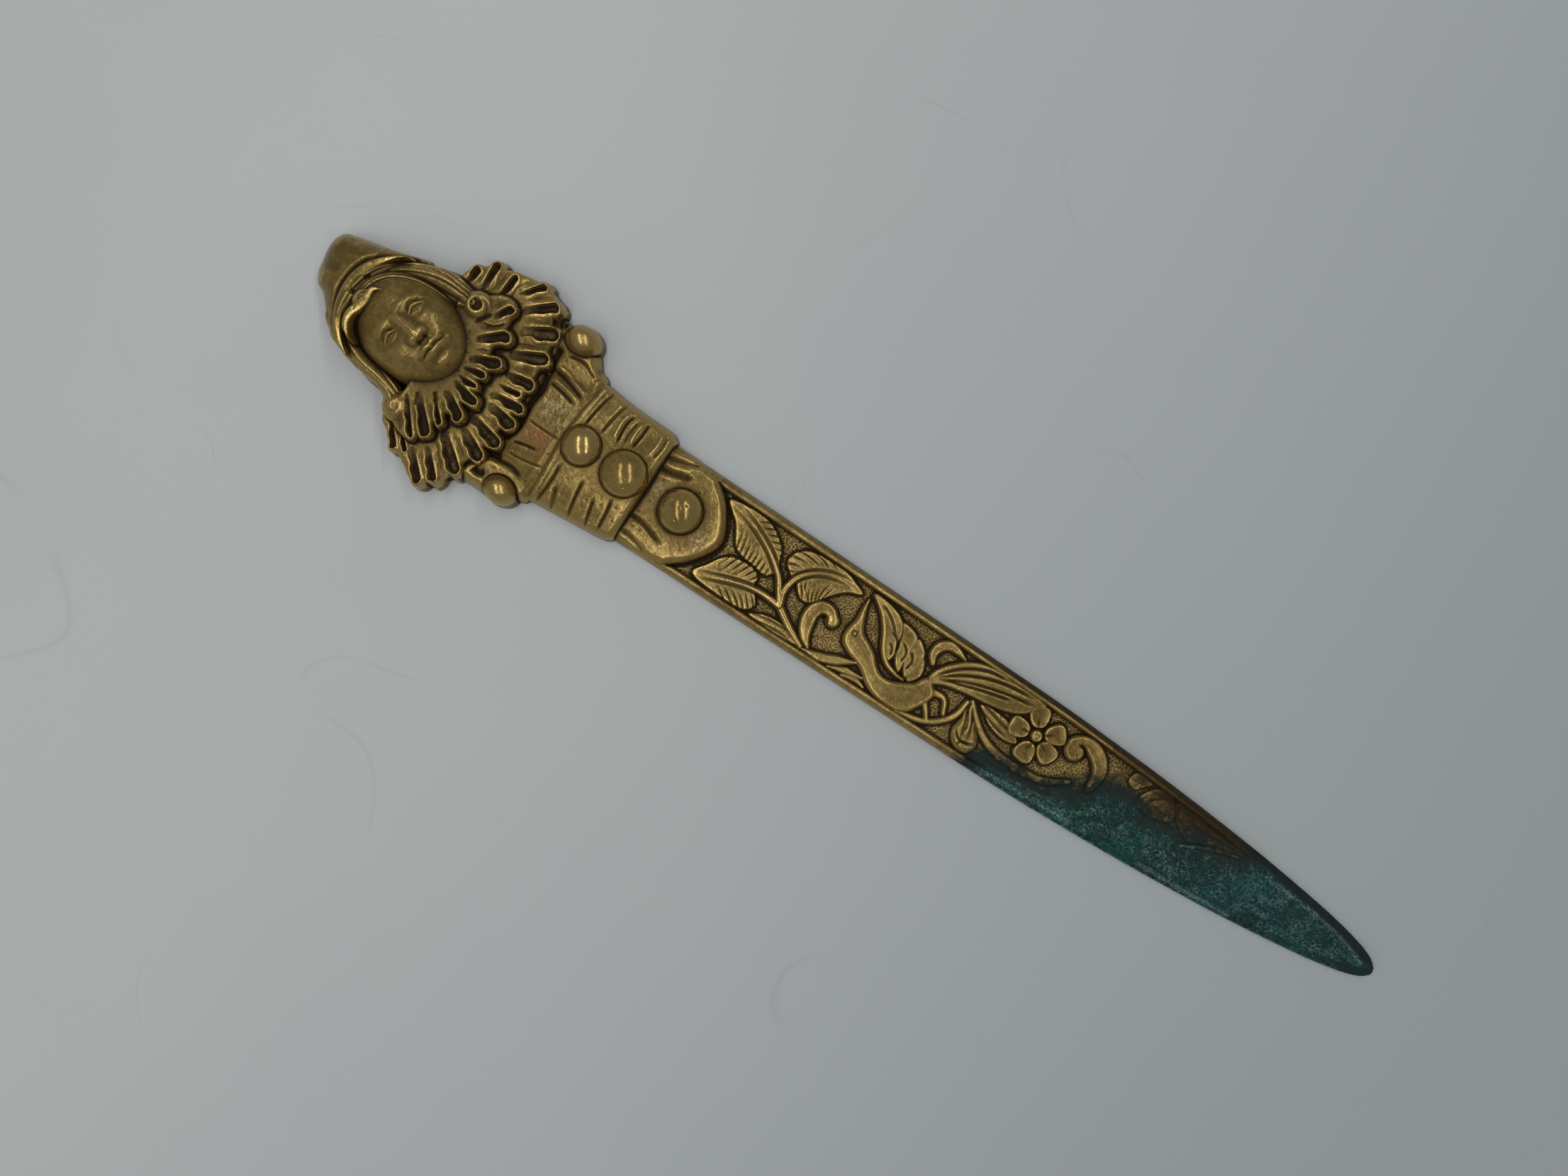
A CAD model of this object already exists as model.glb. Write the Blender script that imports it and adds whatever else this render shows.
# %% [markdown]
# A cast brass letter opener lies on a pale table, seen from straight above.
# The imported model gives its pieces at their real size, and this lesson gives them
# their cast surface and their finish. Everything below works in millimetres on the
# face of the casting, and each piece goes to metres only when its mesh is made.

# %% Load the frame
import math

import bpy
import numpy as np
from mathutils import Matrix, Vector
from mathutils.geometry import delaunay_2d_cdt


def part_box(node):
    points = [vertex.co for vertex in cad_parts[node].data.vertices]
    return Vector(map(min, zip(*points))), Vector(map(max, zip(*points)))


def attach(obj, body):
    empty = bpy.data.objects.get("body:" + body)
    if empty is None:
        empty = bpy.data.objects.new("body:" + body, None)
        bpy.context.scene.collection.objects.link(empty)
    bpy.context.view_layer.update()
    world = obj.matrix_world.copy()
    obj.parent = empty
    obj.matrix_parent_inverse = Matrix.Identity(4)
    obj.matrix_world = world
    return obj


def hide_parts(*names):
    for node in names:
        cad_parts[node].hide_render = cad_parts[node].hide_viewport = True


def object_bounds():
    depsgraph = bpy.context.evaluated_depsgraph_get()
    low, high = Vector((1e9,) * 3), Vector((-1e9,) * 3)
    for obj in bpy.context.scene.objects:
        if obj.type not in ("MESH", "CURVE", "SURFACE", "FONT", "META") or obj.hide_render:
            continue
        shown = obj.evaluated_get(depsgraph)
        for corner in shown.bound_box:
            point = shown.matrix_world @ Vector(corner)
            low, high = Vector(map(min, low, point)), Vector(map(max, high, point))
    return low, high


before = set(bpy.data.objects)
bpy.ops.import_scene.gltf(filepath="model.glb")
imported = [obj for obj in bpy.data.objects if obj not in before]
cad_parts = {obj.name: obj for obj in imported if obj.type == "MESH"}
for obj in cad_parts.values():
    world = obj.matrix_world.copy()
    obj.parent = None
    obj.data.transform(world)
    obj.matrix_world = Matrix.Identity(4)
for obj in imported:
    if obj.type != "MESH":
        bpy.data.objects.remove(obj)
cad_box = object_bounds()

print("nodes in the frame:", len(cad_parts))

# %% [markdown]
# A casting like this is pressed in sand by a pattern, so nothing on its face is
# undercut: over each spot of the table there is one height. A height map on a fine
# grid therefore holds the whole face. Separate meshes for every leaf would need
# many booleans and would meet in knife-sharp corners, while on a height map each
# form can rise out of the last with the soft fillet that poured metal leaves.

# %% Lay out the mould
per_metre = 1000
grid_pitch = 0.12
mould_margin = 1.0
nothing_there = -6.0

mould_low = np.array(cad_box[0])[:2] * per_metre - mould_margin
mould_high = np.array(cad_box[1])[:2] * per_metre + mould_margin
columns, rows = np.ceil((mould_high - mould_low) / grid_pitch).astype(int) + 1
grid_x, grid_y = np.meshgrid(
    mould_low[0] + grid_pitch * np.arange(columns),
    mould_low[1] + grid_pitch * np.arange(rows),
    indexing="ij",
)
height = np.full(grid_x.shape, nothing_there)
owner = np.full(grid_x.shape, -1)
piece_names = sorted(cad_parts)
print("mould grid:", columns, "by", rows)

# %% [markdown]
# The forms were placed on a square grid drawn over the picture, in millimetres on
# the table top. The lens hung about 203 mm above the table, so what stands higher
# looks further from the middle of the view than it is. One function slides such
# points back along the sight line to the height that they really have.

# %% From the picture's grid to the object
lens_height = 203.0
lens_over = np.array([-11.9, -0.56])
grid_shift = np.array([-0.7, 0.0])


def seen(points, z):
    """Points of the picture's grid as they lie on the object at height z."""
    flat = np.atleast_2d(np.array(points, float)) + grid_shift
    return lens_over + (flat - lens_over) * (1 - z / lens_height)


def smooth(points, closed=False, per=7):
    """A smooth curve through a few points set by hand."""
    p = np.asarray(points, float)
    if closed:
        ring = np.vstack([p[-1:], p, p[:2]])
    else:
        ring = np.vstack([2 * p[0] - p[1], p, 2 * p[-1] - p[-2]])
    t = np.linspace(0, 1, per, endpoint=False)[:, None]
    spans = []
    for a, b, c, d in zip(ring, ring[1:], ring[2:], ring[3:]):
        bend = (2 * a - 5 * b + 4 * c - d) * t**2 + (3 * b - a - 3 * c + d) * t**3
        spans.append(0.5 * (2 * b + (c - a) * t + bend))
    if not closed:
        spans.append(p[-1:])
    return np.vstack(spans)


def drawn(points, z, closed=False, per=7):
    """The smooth curve through points of the picture's grid, on the object at height z."""
    on_object = seen(points, z)
    return smooth(on_object, closed, per)


print("a grid point 100 mm out and 10 mm up lies at", seen((100, 0), 10)[0].round(1))

# %% [markdown]
# Three small sums come back in every form: a value held between 0 and 1, a straight
# rise from 0 to 1 between two places, and the soft hump of a bell. Written out each
# time they would hide what a form is, so they get names.

# %% Small sums
def unit(value):
    """The value held between 0 and 1."""
    return np.clip(value, 0.0, 1.0)


def rising(value, start, end):
    """0 up to the start, 1 past the end, and a straight rise between them."""
    return unit((value - start) / (end - start))


def bell(away, width):
    """A soft hump, 1 in the middle and about a third at its width."""
    return np.exp(-((away / width) ** 2))


print("a bell at its width stands at", round(float(bell(1, 1)), 2))

# %% [markdown]
# Two measures are enough to shape everything: how far a spot lies inside an outline,
# and how far it lies from a line and where along it. Both are worked out only in
# a small window of the grid around the form, which keeps the whole mould quick.

# %% Windows, outlines and lines
far_off = 1e9
everywhere = slice(None), slice(None)


def window(points, margin):
    """The part of the grid that holds some points, with a margin."""
    p = np.asarray(points)
    first = np.floor((p.min(0) - margin - mould_low) / grid_pitch).astype(int).clip(0)
    last = np.ceil((p.max(0) + margin - mould_low) / grid_pitch).astype(int) + 1
    return slice(first[0], last[0]), slice(first[1], last[1])


def depth_inside(spot, outline):
    """How far each spot lies inside a closed outline, negative outside it."""
    x, y = grid_x[spot], grid_y[spot]
    nearest = np.full(x.shape, far_off)
    inside = np.zeros(x.shape, bool)
    for (ax, ay), (bx, by) in zip(outline, np.roll(outline, -1, 0)):
        dx, dy = bx - ax, by - ay
        if dx == 0 and dy == 0:
            continue
        t = unit(((x - ax) * dx + (y - ay) * dy) / (dx * dx + dy * dy))
        nearest = np.minimum(nearest, (x - ax - t * dx) ** 2 + (y - ay - t * dy) ** 2)
        if dy != 0:
            inside ^= ((ay > y) != (by > y)) & (x < ax + (y - ay) * dx / dy)
    return np.sqrt(nearest) * np.where(inside, 1, -1)


def beside(spot, line):
    """Distance from a line, with its sign by side, and how far along the line that is."""
    x, y = grid_x[spot], grid_y[spot]
    nearest = np.full(x.shape, far_off)
    run = np.zeros(x.shape)
    side = np.ones(x.shape)
    walked = 0.0
    for (ax, ay), (bx, by) in zip(line, line[1:]):
        dx, dy = bx - ax, by - ay
        length = math.hypot(dx, dy)
        t = unit(((x - ax) * dx + (y - ay) * dy) / length**2)
        away = (x - ax - t * dx) ** 2 + (y - ay - t * dy) ** 2
        closer = away < nearest
        nearest = np.where(closer, away, nearest)
        run = np.where(closer, walked + t * length, run)
        side = np.where(closer, np.sign(dx * (y - ay) - dy * (x - ax)), side)
        walked += length
    return np.sqrt(nearest) * side, run / walked


def depth_of(outline, z, margin=1.0, closed=True):
    """The window round an outline of the picture's grid, and the depth inside it."""
    shape = drawn(outline, z, closed)
    spot = window(shape, margin)
    return spot, depth_inside(spot, shape)


def offsets(spot, middle):
    """How far each spot lies from a middle, lengthwise and crosswise."""
    return grid_x[spot] - middle[0], grid_y[spot] - middle[1]


print("a window of 10 mm holds", grid_x[window([(0, 0), (10, 10)], 0)].size, "spots")

# %% [markdown]
# Pressing a form into the mould keeps the higher of the two surfaces and rounds the
# corner between them. A form comes with the name of its piece, so the mould also
# remembers which piece each spot belongs to. A chased line is cut the other way, as
# a furrow that fades out towards its ends.

# %% Press forms and chase lines
wall_slope = 6.0
soft_ends = (6, 0.03)


def number(piece):
    """The number that the mould keeps for a piece."""
    return piece_names.index(piece)


def owned(*names, spot=everywhere):
    """Where the mould belongs to one of the named pieces."""
    return np.isin(owner[spot], [number(name) for name in names])


def press(piece, spot, form, fillet=0.3):
    """Raises the mould to a form and lets its piece own what it covers."""
    here = height[spot]
    share = unit(0.5 + 0.5 * (form - here) / fillet)
    owner[spot] = np.where(form > here, number(piece), owner[spot])
    height[spot] = here + (form - here) * share + fillet * share * (1 - share)


def cushion(depth, top, edge, drop, crown=0.0):
    """A rounded top that falls by drop over its edge, then by a steep cast wall."""
    s = unit(depth / edge)
    outside = np.minimum(depth, 0) * max(wall_slope, 2 * drop / edge)
    return top - drop * (1 - s) ** 2 + outside + crown * np.clip(depth - edge, 0, 2)


def furrow(path, depth, width, ends=soft_ends, only=()):
    """Cuts a furrow along a path; a negative depth raises a thin cord instead."""
    spot = window(path, 4 * width)
    away, run = beside(spot, path)
    strength = 1
    if ends:
        rate, start = ends
        strength = np.minimum(1, rate * np.minimum(run + start, 1 + start - run))
    cut = depth * strength * bell(away, width)
    if only:
        cut = cut * owned(*only, spot=spot)
    height[spot] -= np.where(height[spot] > 0, cut, 0)


def chase(z, *lines, ends=soft_ends, only=()):
    """Cuts furrows at one height, each given by its depth, its width and its points."""
    for depth, width, *points in lines:
        furrow(drawn(points, z), depth, width, ends, only)


print("pieces that the mould can tell apart:", len(piece_names))

# %% [markdown]
# The blade is a slim plate whose sides run almost straight to two thirds of its
# length and then draw in to a small round nose. Its edge is bevelled up to a thin
# rim, and inside the rim the ground lies lower, as the tray for the ornament.

# %% Blade and rim
blade_start = -42.0
blade_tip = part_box("blade")[1].x * per_metre
blade_sides = [
    (blade_start, 9.6), (-20, 9.5), (0, 9.32), (20, 9.12), (38.4, 8.9), (50, 8.45), (60, 7.95),
    (72, 7.1), (82, 6.2), (91, 5.15), (98, 4.15), (103, 3.15), (106.4, 2.15), (108.2, 1.05),
]
rim_depths = [-2.0, 0.0, 0.35, 0.75, 1.2, 1.42, 1.66, 2.4]
rim_heights = [-9.0, 1.0, 1.8, 2.16, 2.28, 2.0, 1.36, 1.46]
worn_heights = [-9.0, 0.8, 1.05, 1.25, 1.5, 1.62, 1.74, 1.8]
ground_starts = 1.5
rim_starts = 0.15
panel_starts = -31

blade_outline = smooth(blade_sides + [(blade_tip, 0.0)] + [(x, -y) for x, y in reversed(blade_sides)])
blade_spot = window(blade_outline, mould_margin)
blade_x, blade_y = grid_x[blade_spot], grid_y[blade_spot]
blade_depth = depth_inside(blade_spot, blade_outline)
worn_below = 0.7 * rising(blade_x, 30, 38) * unit(-blade_y / 4)
worn_away = np.maximum(rising(blade_x, 66, 90), worn_below)
fresh_rim = np.interp(blade_depth, rim_depths, rim_heights)
worn_rim = np.interp(blade_depth, rim_depths, worn_heights)
press("blade", blade_spot, fresh_rim + (worn_rim - fresh_rim) * worn_away)
on_rim = (blade_depth > rim_starts) & (blade_depth < ground_starts) & (blade_x > panel_starts)
owner[blade_spot] = np.where(on_rim, number("panel_border"), owner[blade_spot])
ground = np.zeros(height.shape)
ground[blade_spot] = unit((blade_depth - ground_starts) / 0.3)
print("blade from", blade_start, "to", round(blade_tip, 1))

# %% [markdown]
# The ornament is a running spray of leaves, scrolls and blossom round a long-tailed
# bird. Every leaf is a low cushion with a toothed edge, and its veins leave the
# midrib at a slant. Carving each vein by hand would take hundreds of points, so the
# veins are stripes counted along the midrib and pushed back with distance from it.

# %% Leaf and stem
relief_z = 2.25
ground_z = 1.5
edge_share = 0.6
vein_depth = 0.28
vein_width = 0.17
vein_slant = 0.8


def leaf(piece, outline, rib, rise=0.8, vein_gap=1.3, teeth=0.2, edge=0.3, veined=(0, 0.62)):
    """A leaf of the relief with a toothed edge and slanting veins."""
    spot, depth = depth_of(outline, relief_z)
    depth = depth + 0.2
    rib_line = drawn(rib, relief_z)
    away, run = beside(spot, rib_line)
    rib_length = np.linalg.norm(np.diff(rib_line, axis=0), axis=1).sum()
    count = (run * rib_length + vein_slant * np.abs(away)) / vein_gap
    phase = count - np.floor(count)
    here = unit((run - veined[0]) * 8 + 0.5) * unit((veined[1] - run) * 8 + 0.5)
    depth = depth + teeth * here * (phase - 0.5) * unit(1.6 - depth)
    form = cushion(depth, ground_z + rise, edge, rise * edge_share, crown=0.04)
    form = form - vein_depth * unit(3 - 3.2 * run) * bell(np.abs(away) - 0.6, 0.24)
    veins = bell(np.minimum(phase, 1 - phase) * vein_gap, vein_width)
    form = form - vein_depth * veins * here * unit(1.7 - 0.6 * depth) * unit(np.abs(away) - 0.7)
    press(piece, spot, form, fillet=0.1)


def stem(piece, line, radii, rise=0.75, fillet=0.12, z=relief_z, floor=ground_z, sink=0.0):
    """A rounded cord of metal along a line, as thick as its radii say."""
    path = drawn(line, z)
    spot = window(path, max(radii) + 0.8)
    away, run = beside(spot, path)
    radius = np.interp(run, np.linspace(0, 1, len(radii)), radii)
    depth = radius + 0.12 - np.abs(away)
    top = floor + rise - sink * run
    form = cushion(depth, top, min(0.5, max(radii)), rise * edge_share, crown=0.1)
    press(piece, spot, form, fillet)


print("veins are", vein_depth, "mm deep and", vein_width, "mm wide")

# %% [markdown]
# Two large leaves reach back to the grip and one forward over the bird. The stem that
# carries them runs on as the midrib of each.

# %% Leaves
upper_rib = [(-13.2, 0.7), (-16.5, 3.2), (-20, 5), (-23.6, 6.3), (-27, 7.2)]
lower_rib = [(-13.6, -3.4), (-16.5, -3.75), (-19.5, -4.6), (-23.4, -6), (-26, -6.9)]
right_rib = [(-10.8, 0.6), (-10, 2.6), (-8, 4.6), (-5.5, 5.8), (-2.6, 6.3), (0.4, 6)]
leaf(
    "leaf_upper",
    [(-27.2, 7.1), (-26, 5.7), (-24.4, 4.4), (-23.2, 2.6), (-22, 0.9), (-20.2, 0.1), (-18, -0.1),
     (-15.8, -0.5), (-14.6, -0.1), (-14, 1.2), (-14.5, 2.9), (-15.2, 4.6), (-16.8, 6.1),
     (-18.6, 7.2), (-20.6, 7.7), (-24, 7.7)],
    upper_rib,
)
leaf(
    "leaf_lower",
    [(-26, -6.7), (-24.6, -4.6), (-23.2, -2.4), (-21.6, -1.1), (-19.5, -0.7), (-17.2, -0.8),
     (-16, -1.8), (-15.8, -3), (-14.4, -4.8), (-13.9, -6), (-14.7, -7.2), (-16.5, -7.7),
     (-21, -7.75), (-24.5, -7.5)],
    lower_rib,
)
leaf(
    "leaf_right",
    [(-11.4, 2), (-13.1, 3.5), (-12.9, 5.3), (-11.6, 6.7), (-10, 7.4), (-7, 7.6), (-3.6, 7.6),
     (-1.6, 7), (0.7, 6), (-1.3, 5.1), (-2.7, 4), (-4, 2.5), (-5.2, 0.8), (-6.3, -0.3),
     (-7.6, -0.5), (-8.8, 0.2), (-9.8, 1.3)],
    right_rib,
    teeth=0.05,
)
leaf(
    "leaf_edge",
    [(-13.8, -7.7), (-12.4, -6.8), (-10.5, -6.2), (-8.2, -6.1), (-6, -6.5), (-3.7, -7.3), (-5, -7.7),
     (-9, -7.85)],
    [(-13.5, -7.6), (-8, -6.9), (-4, -7.4)],
    teeth=0.0, vein_gap=3.5, veined=(0, 0),
)
leaf(
    "blossom_leaf",
    [(28.3, 1.3), (30.5, 1.7), (33.6, 1.4), (35.6, 0.4), (36.9, -0.9), (34.6, -1.5), (31.8, -0.9),
     (30, 0.2)],
    [(28.4, 1.2), (32, 0.2), (36.6, -0.8)],
    teeth=0.06, vein_gap=1.6, rise=0.7,
)
stem("spray_stem", [(-3.4, -7.4), (-7, -5.6), (-10.3, -3.5)], [0.45, 0.6, 0.6], rise=1.0)
for line, radii in [
    ([(-10.2, -3.6), (-11.8, -1.2)] + upper_rib, [0.6, 0.56, 0.48, 0.36, 0.22, 0.1]),
    ([(-10.2, -3.6)] + lower_rib, [0.6, 0.52, 0.42, 0.32, 0.22, 0.1]),
    ([(-10.3, -3.2), (-10.9, -1.4)] + right_rib, [0.6, 0.58, 0.5, 0.36, 0.22, 0.1]),
]:
    stem("spray_stem", line, radii, rise=1.25, sink=0.45)
print("leaves and their stems pressed")

# %% [markdown]
# The scrolls are fat cords that swell and then roll up into a round end. A line of
# points with a thickness at each one says the same as a modelled sweep, and lets
# the cord lie down into the ground with a soft foot.

# %% Scrolls, grass and twigs
def boss(piece, centre, radius, rise, dent=0.0, fillet=0.12):
    """A small round bump, such as the end of a scroll."""
    middle = seen(centre, relief_z)[0]
    spot = window([middle], radius + 0.8)
    away = np.hypot(*offsets(spot, middle))
    depth = radius + 0.1 - away
    form = cushion(depth, ground_z + rise, 0.4 * radius, rise * edge_share, crown=0.06)
    press(piece, spot, form - dent * bell(away, 0.45 * radius), fillet)


stem(
    "scroll_left",
    [(-2.2, -6.9), (-3.6, -5.6), (-4.6, -3.6), (-4.85, -1.6), (-4.2, 0), (-3, 0.55), (-1.8, 0.2),
     (-1.1, -0.8)],
    [0.3, 0.8, 1.15, 1.3, 1.25, 1.1, 0.95, 0.9],
    rise=1.0,
)
boss("scroll_left", (-1.1, -0.7), radius=1.2, rise=1.0, fillet=0.45)
chase(relief_z, (0.4, 0.25, (-2.9, -1.2), (-2.2, -0.9), (-1.9, -1.6)))
stem(
    "scroll_middle",
    [(17.4, 2.7), (16.6, 4.2), (17, 5.9), (18.4, 6.9), (20.2, 6.8), (21.8, 6.3)],
    [0.45, 0.75, 0.9, 0.8, 0.6, 0.2],
    rise=0.95,
)
stem(
    "scroll_right",
    [(51.7, -0.8), (52, 1.4), (51.4, 3.5), (49.7, 5.2), (47.4, 5.8), (45.5, 5), (45.1, 3.6),
     (46.1, 2.7)],
    [0.5, 0.95, 1.2, 1.35, 1.3, 1.1, 0.9, 0.9],
    rise=1.0,
)
boss("scroll_right", (46.1, 3.6), radius=1.75, rise=1.0, fillet=0.45)
chase(relief_z, (0.55, 0.26, (46.1, 4.9), (47.3, 4.8), (48.2, 3.9), (48, 2.6)))
for rise, radii, blade_of_grass in [
    (0.5, [0.15, 0.5, 0.15], [(5.2, -7.7), (7.6, -7), (9.6, -7.4)]),
    (0.6, [0.15, 0.6, 0.15], [(2.4, -7.7), (5.4, -6.7), (8.6, -6.2)]),
    (0.85, [0.15, 0.75, 0.8, 0.2], [(-3, -7.6), (0.6, -7.1), (3.8, -5.7), (6.3, -4.5)]),
]:
    stem("grass_leaves", blade_of_grass, radii, rise)
for radii, twig in [
    ([0.35, 0.45, 0.45, 0.5, 0.4], [(16.4, -7.6), (21, -6.7), (23.8, -5), (25.6, -2.6), (26.1, 0.4)]),
    ([0.6, 0.42, 0.35], [(19.4, -1.6), (22.3, -1.3), (23.7, -3.6)]),
    ([0.5, 0.4, 0.35], [(19.6, -3.4), (20.7, -4.6), (21.9, -6.2)]),
]:
    stem("perch_twig", twig, radii)
stem(
    "blossom_twig",
    [(26.8, 1), (29, -1.2), (31.3, -2.9), (34.4, -4.1), (38, -4.5), (42, -4.3), (45, -3.6),
     (48.3, -1.5)],
    [0.35, 0.5, 0.55, 0.6, 0.7, 0.65, 0.6, 0.3],
)
leaf(
    "bud",
    [(27, 0.9), (27.9, -0.8), (29.4, -2.4), (31, -4.2), (31.2, -5.9), (30.2, -7.1), (28.4, -7.1),
     (27.1, -6.1), (26.5, -4.6), (26.8, -2.6), (26.7, -0.6)],
    [(26.9, 0.8), (28.4, -3.2), (29.4, -6.8)],
    teeth=0.0, vein_gap=20.0, edge=1.3, rise=1.0, veined=(0, 0),
)
print("scrolls, grass and twigs pressed")

# %% [markdown]
# The blossom has five dished petals round a raised eye. They differ only in where they
# point, so one petal is described along and across its own middle line and pressed
# five times.

# %% Blossom
blossom_hub = (39.2, 2.1)
petal_turns = (113, 35, -27, -94, 187)


def petal(turn, reach=3.25, half_length=1.9, half_width=1.75):
    """One dished petal, set round the middle of the blossom by its turn in degrees."""
    middle = seen(blossom_hub, relief_z)[0]
    spot = window([middle], reach + half_length + 1)
    x, y = offsets(spot, middle)
    angle = math.radians(turn)
    along = x * math.cos(angle) + y * math.sin(angle) - reach
    across = y * math.cos(angle) - x * math.sin(angle)
    widening = 1 + 0.12 * np.clip(along, -half_length, half_length)
    away = np.hypot(np.abs(along / half_length) ** 1.3, np.abs(across / half_width / widening) ** 1.3)
    dish = 0.36 * bell(away, 0.6) + 0.2 * bell(across, 0.2) * unit(-along)
    form = cushion(half_width * (1 - away) + 0.1, top=ground_z + 0.95, edge=0.4, drop=0.5) - dish
    press("blossom_petals", spot, form, fillet=0.1)


for petal_turn in petal_turns:
    petal(petal_turn)
boss("blossom_eye", blossom_hub, radius=1.05, rise=1.1, dent=-0.1)
print("petals pressed:", len(petal_turns))

# %% [markdown]
# The bird stretches its neck up, with its wing raised and a long tail streaming
# back. Its feathers overlap like slates, so they are pressed from the lowest to the
# topmost, each a little higher than the one before, and the shafts are chased after.

# %% Bird
def patch(piece, outline, rise, edge, fillet=0.12, z=relief_z, floor=ground_z):
    """A low pillow of metal inside an outline."""
    spot, depth = depth_of(outline, z)
    form = cushion(depth + 0.15, floor + rise, edge, rise * edge_share, crown=0.06)
    press(piece, spot, form, fillet)


patch(
    "bird_tail",
    [(18.2, 1.3), (20, 4.1), (23, 6.6), (26.5, 7.7), (32, 7.65), (37.8, 7.4), (36.4, 5.2), (34, 3.3),
     (30, 2.2), (25, 1.5), (21, 0.6), (18.7, -0.5)],
    rise=0.9, edge=0.45,
)
bird = ("bird_body", "bird_tail", "bird_wing")
chase(
    relief_z,
    (0.42, 0.26, (18.9, 1.2), (22, 4.6), (26, 6.8), (30.5, 7.5)),
    (0.42, 0.26, (19.1, 1), (23.5, 4.2), (29, 6.4), (35.5, 7.3)),
    (0.42, 0.26, (19.3, 0.7), (25, 3.5), (31, 5.3), (36.2, 6.2)),
    (0.42, 0.26, (21.5, 1.7), (26.5, 3.3), (32.5, 4.9)),
    only=bird,
)
patch(
    "bird_body",
    [(2.2, 6), (3, 3.6), (3.9, 1.5), (4.8, 0.3), (6.4, -0.5), (8.2, -1.6), (9.4, -2.9), (11, -3.9),
     (13, -3.9), (15, -2.9), (16.6, -1.9), (17.6, -0.4), (18.6, 0.4), (19.6, -0.6), (20.6, -1.6),
     (20.2, -3.4), (19.2, -5.2), (18.2, -6.7), (16.6, -7.6), (14.2, -7.75), (11.5, -7.4), (9.5, -6.5),
     (7.8, -5.2), (6, -4.3), (4, -3.7), (2.5, -2.8), (1.8, -1.5), (1.9, 0.2), (2.2, 1.7), (2, 4)],
    rise=0.95, edge=0.75,
)
feathers = [
    [(16.8, -0.4), (16.5, 1.4), (15.6, 2.6), (14.6, 1.8), (14.2, 0), (14.6, -1.6), (15.6, -2.2)],
    [(15.6, 2.6), (14.9, 3.9), (13.2, 4.9), (12.6, 3.6), (12.7, 1.6), (13.4, -0.6), (14.6, -2),
     (15.2, -0.6), (15.5, 1)],
    [(13, 4.6), (11.6, 5.6), (9.4, 5.8), (10.1, 4.2), (10.6, 2.6), (11, 0.8), (11.8, -0.8),
     (13.2, -1.8), (13.1, 0.4), (13, 2.6)],
    [(2.6, 7.25), (5, 7.3), (7.6, 6.7), (9.3, 5.6), (10.2, 4), (10.4, 2.2), (11, 0.4),
     (10.6, -1.1), (8.9, 0.3), (7.4, 2.8), (5.4, 5.3)],
]
for step, feather in enumerate(feathers):
    patch("bird_wing", feather, rise=0.7 + 0.12 * step, edge=0.4, fillet=0.05)
stem(
    "bird_wing",
    [(2.6, 7.1), (5.4, 5.2), (7.4, 2.7), (8.8, 0.2), (10.6, -1.6), (13, -2.4), (14.6, -2.5)],
    [0.25, 0.45, 0.45, 0.45, 0.45, 0.4, 0.2],
    rise=1.2,
)
chase(
    relief_z,
    (0.3, 0.2, (8.4, 3.5), (9.6, 3), (10.6, 2.1), (10.9, 0.8)),
    (0.3, 0.2, (9.2, 1.7), (10, 1), (10.5, -0.2)),
    (0.3, 0.2, (11.2, 2.9), (12.2, 2.2), (12.7, 1.2), (12.5, -0.2)),
    (0.3, 0.2, (13.2, 2.4), (14.2, 1), (14, -0.8)),
    (0.3, 0.2, (4.6, 6.6), (7.2, 5.2), (9.4, 3.2)),
    only=bird,
)
round_turn = np.linspace(0, 2 * math.pi, 11)
bird_eye = [(3.3 + 0.45 * math.cos(a), -0.4 + 0.45 * math.sin(a)) for a in round_turn]
chase(relief_z, (0.22, 0.15, *bird_eye), ends=None)
print("bird pressed, with", len(feathers), "rows of feathers")

# %% [markdown]
# Small creases open the lips of the bud. Towards the tip the ornament has been worn
# almost flat, so its last leaves are only faint swellings there.

# %% Bud creases and worn leaves
chase(
    relief_z,
    (0.35, 0.2, (26.8, -4.6), (28.2, -5.7), (29.6, -5.6), (31, -5.2)),
    (0.25, 0.16, (28.4, -6.9), (28.7, -6), (30.5, -5.7)),
    (0.3, 0.25, (26.9, -0.6), (28, -2.8), (28.3, -4)),
)
worn_leaves = [
    [(57, 4.4), (57.4, 6.2), (59.2, 6.5), (60.6, 6.2), (59.4, 4.8), (58.6, 3.9)],
    [(60, 2.2), (60.6, 4.2), (62.4, 6.2), (65, 6.1), (66.4, 4.6), (66.8, 2.8), (65, 1.6), (62, 1.2)],
    [(66.2, 5.8), (69, 5.8), (72.5, 5.4), (76, 5.1), (80.8, 4.6), (77.5, 3.6), (74, 2.6), (71, 1.4),
     (68.5, 2.6), (66.9, 4.2)],
]
for worn_leaf in worn_leaves:
    patch("tip_leaves", worn_leaf, rise=0.3, edge=0.6, fillet=0.25)
chase(
    relief_z,
    (0.12, 0.24, (61, 2), (62.4, 4.2), (64.4, 5.8)),
    (0.14, 0.24, (66.6, 5.6), (67.4, 3.8), (68.4, 3)),
    (0.14, 0.24, (69.4, 5.6), (70.6, 4.3), (75, 4.2), (79.6, 4.5)),
)
tip_twig = [(70.6, 0), (73.4, 1.5), (76.5, 2.8), (80.6, 4)]
stem("tip_leaves", tip_twig, [0.2, 0.3, 0.3, 0.15], rise=0.4)
print("worn leaves pressed:", len(worn_leaves))

# %% [markdown]
# Below the waist the costume's apron ends in a round lap over the blade. Folds run
# in from the sash at its corners.

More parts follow.
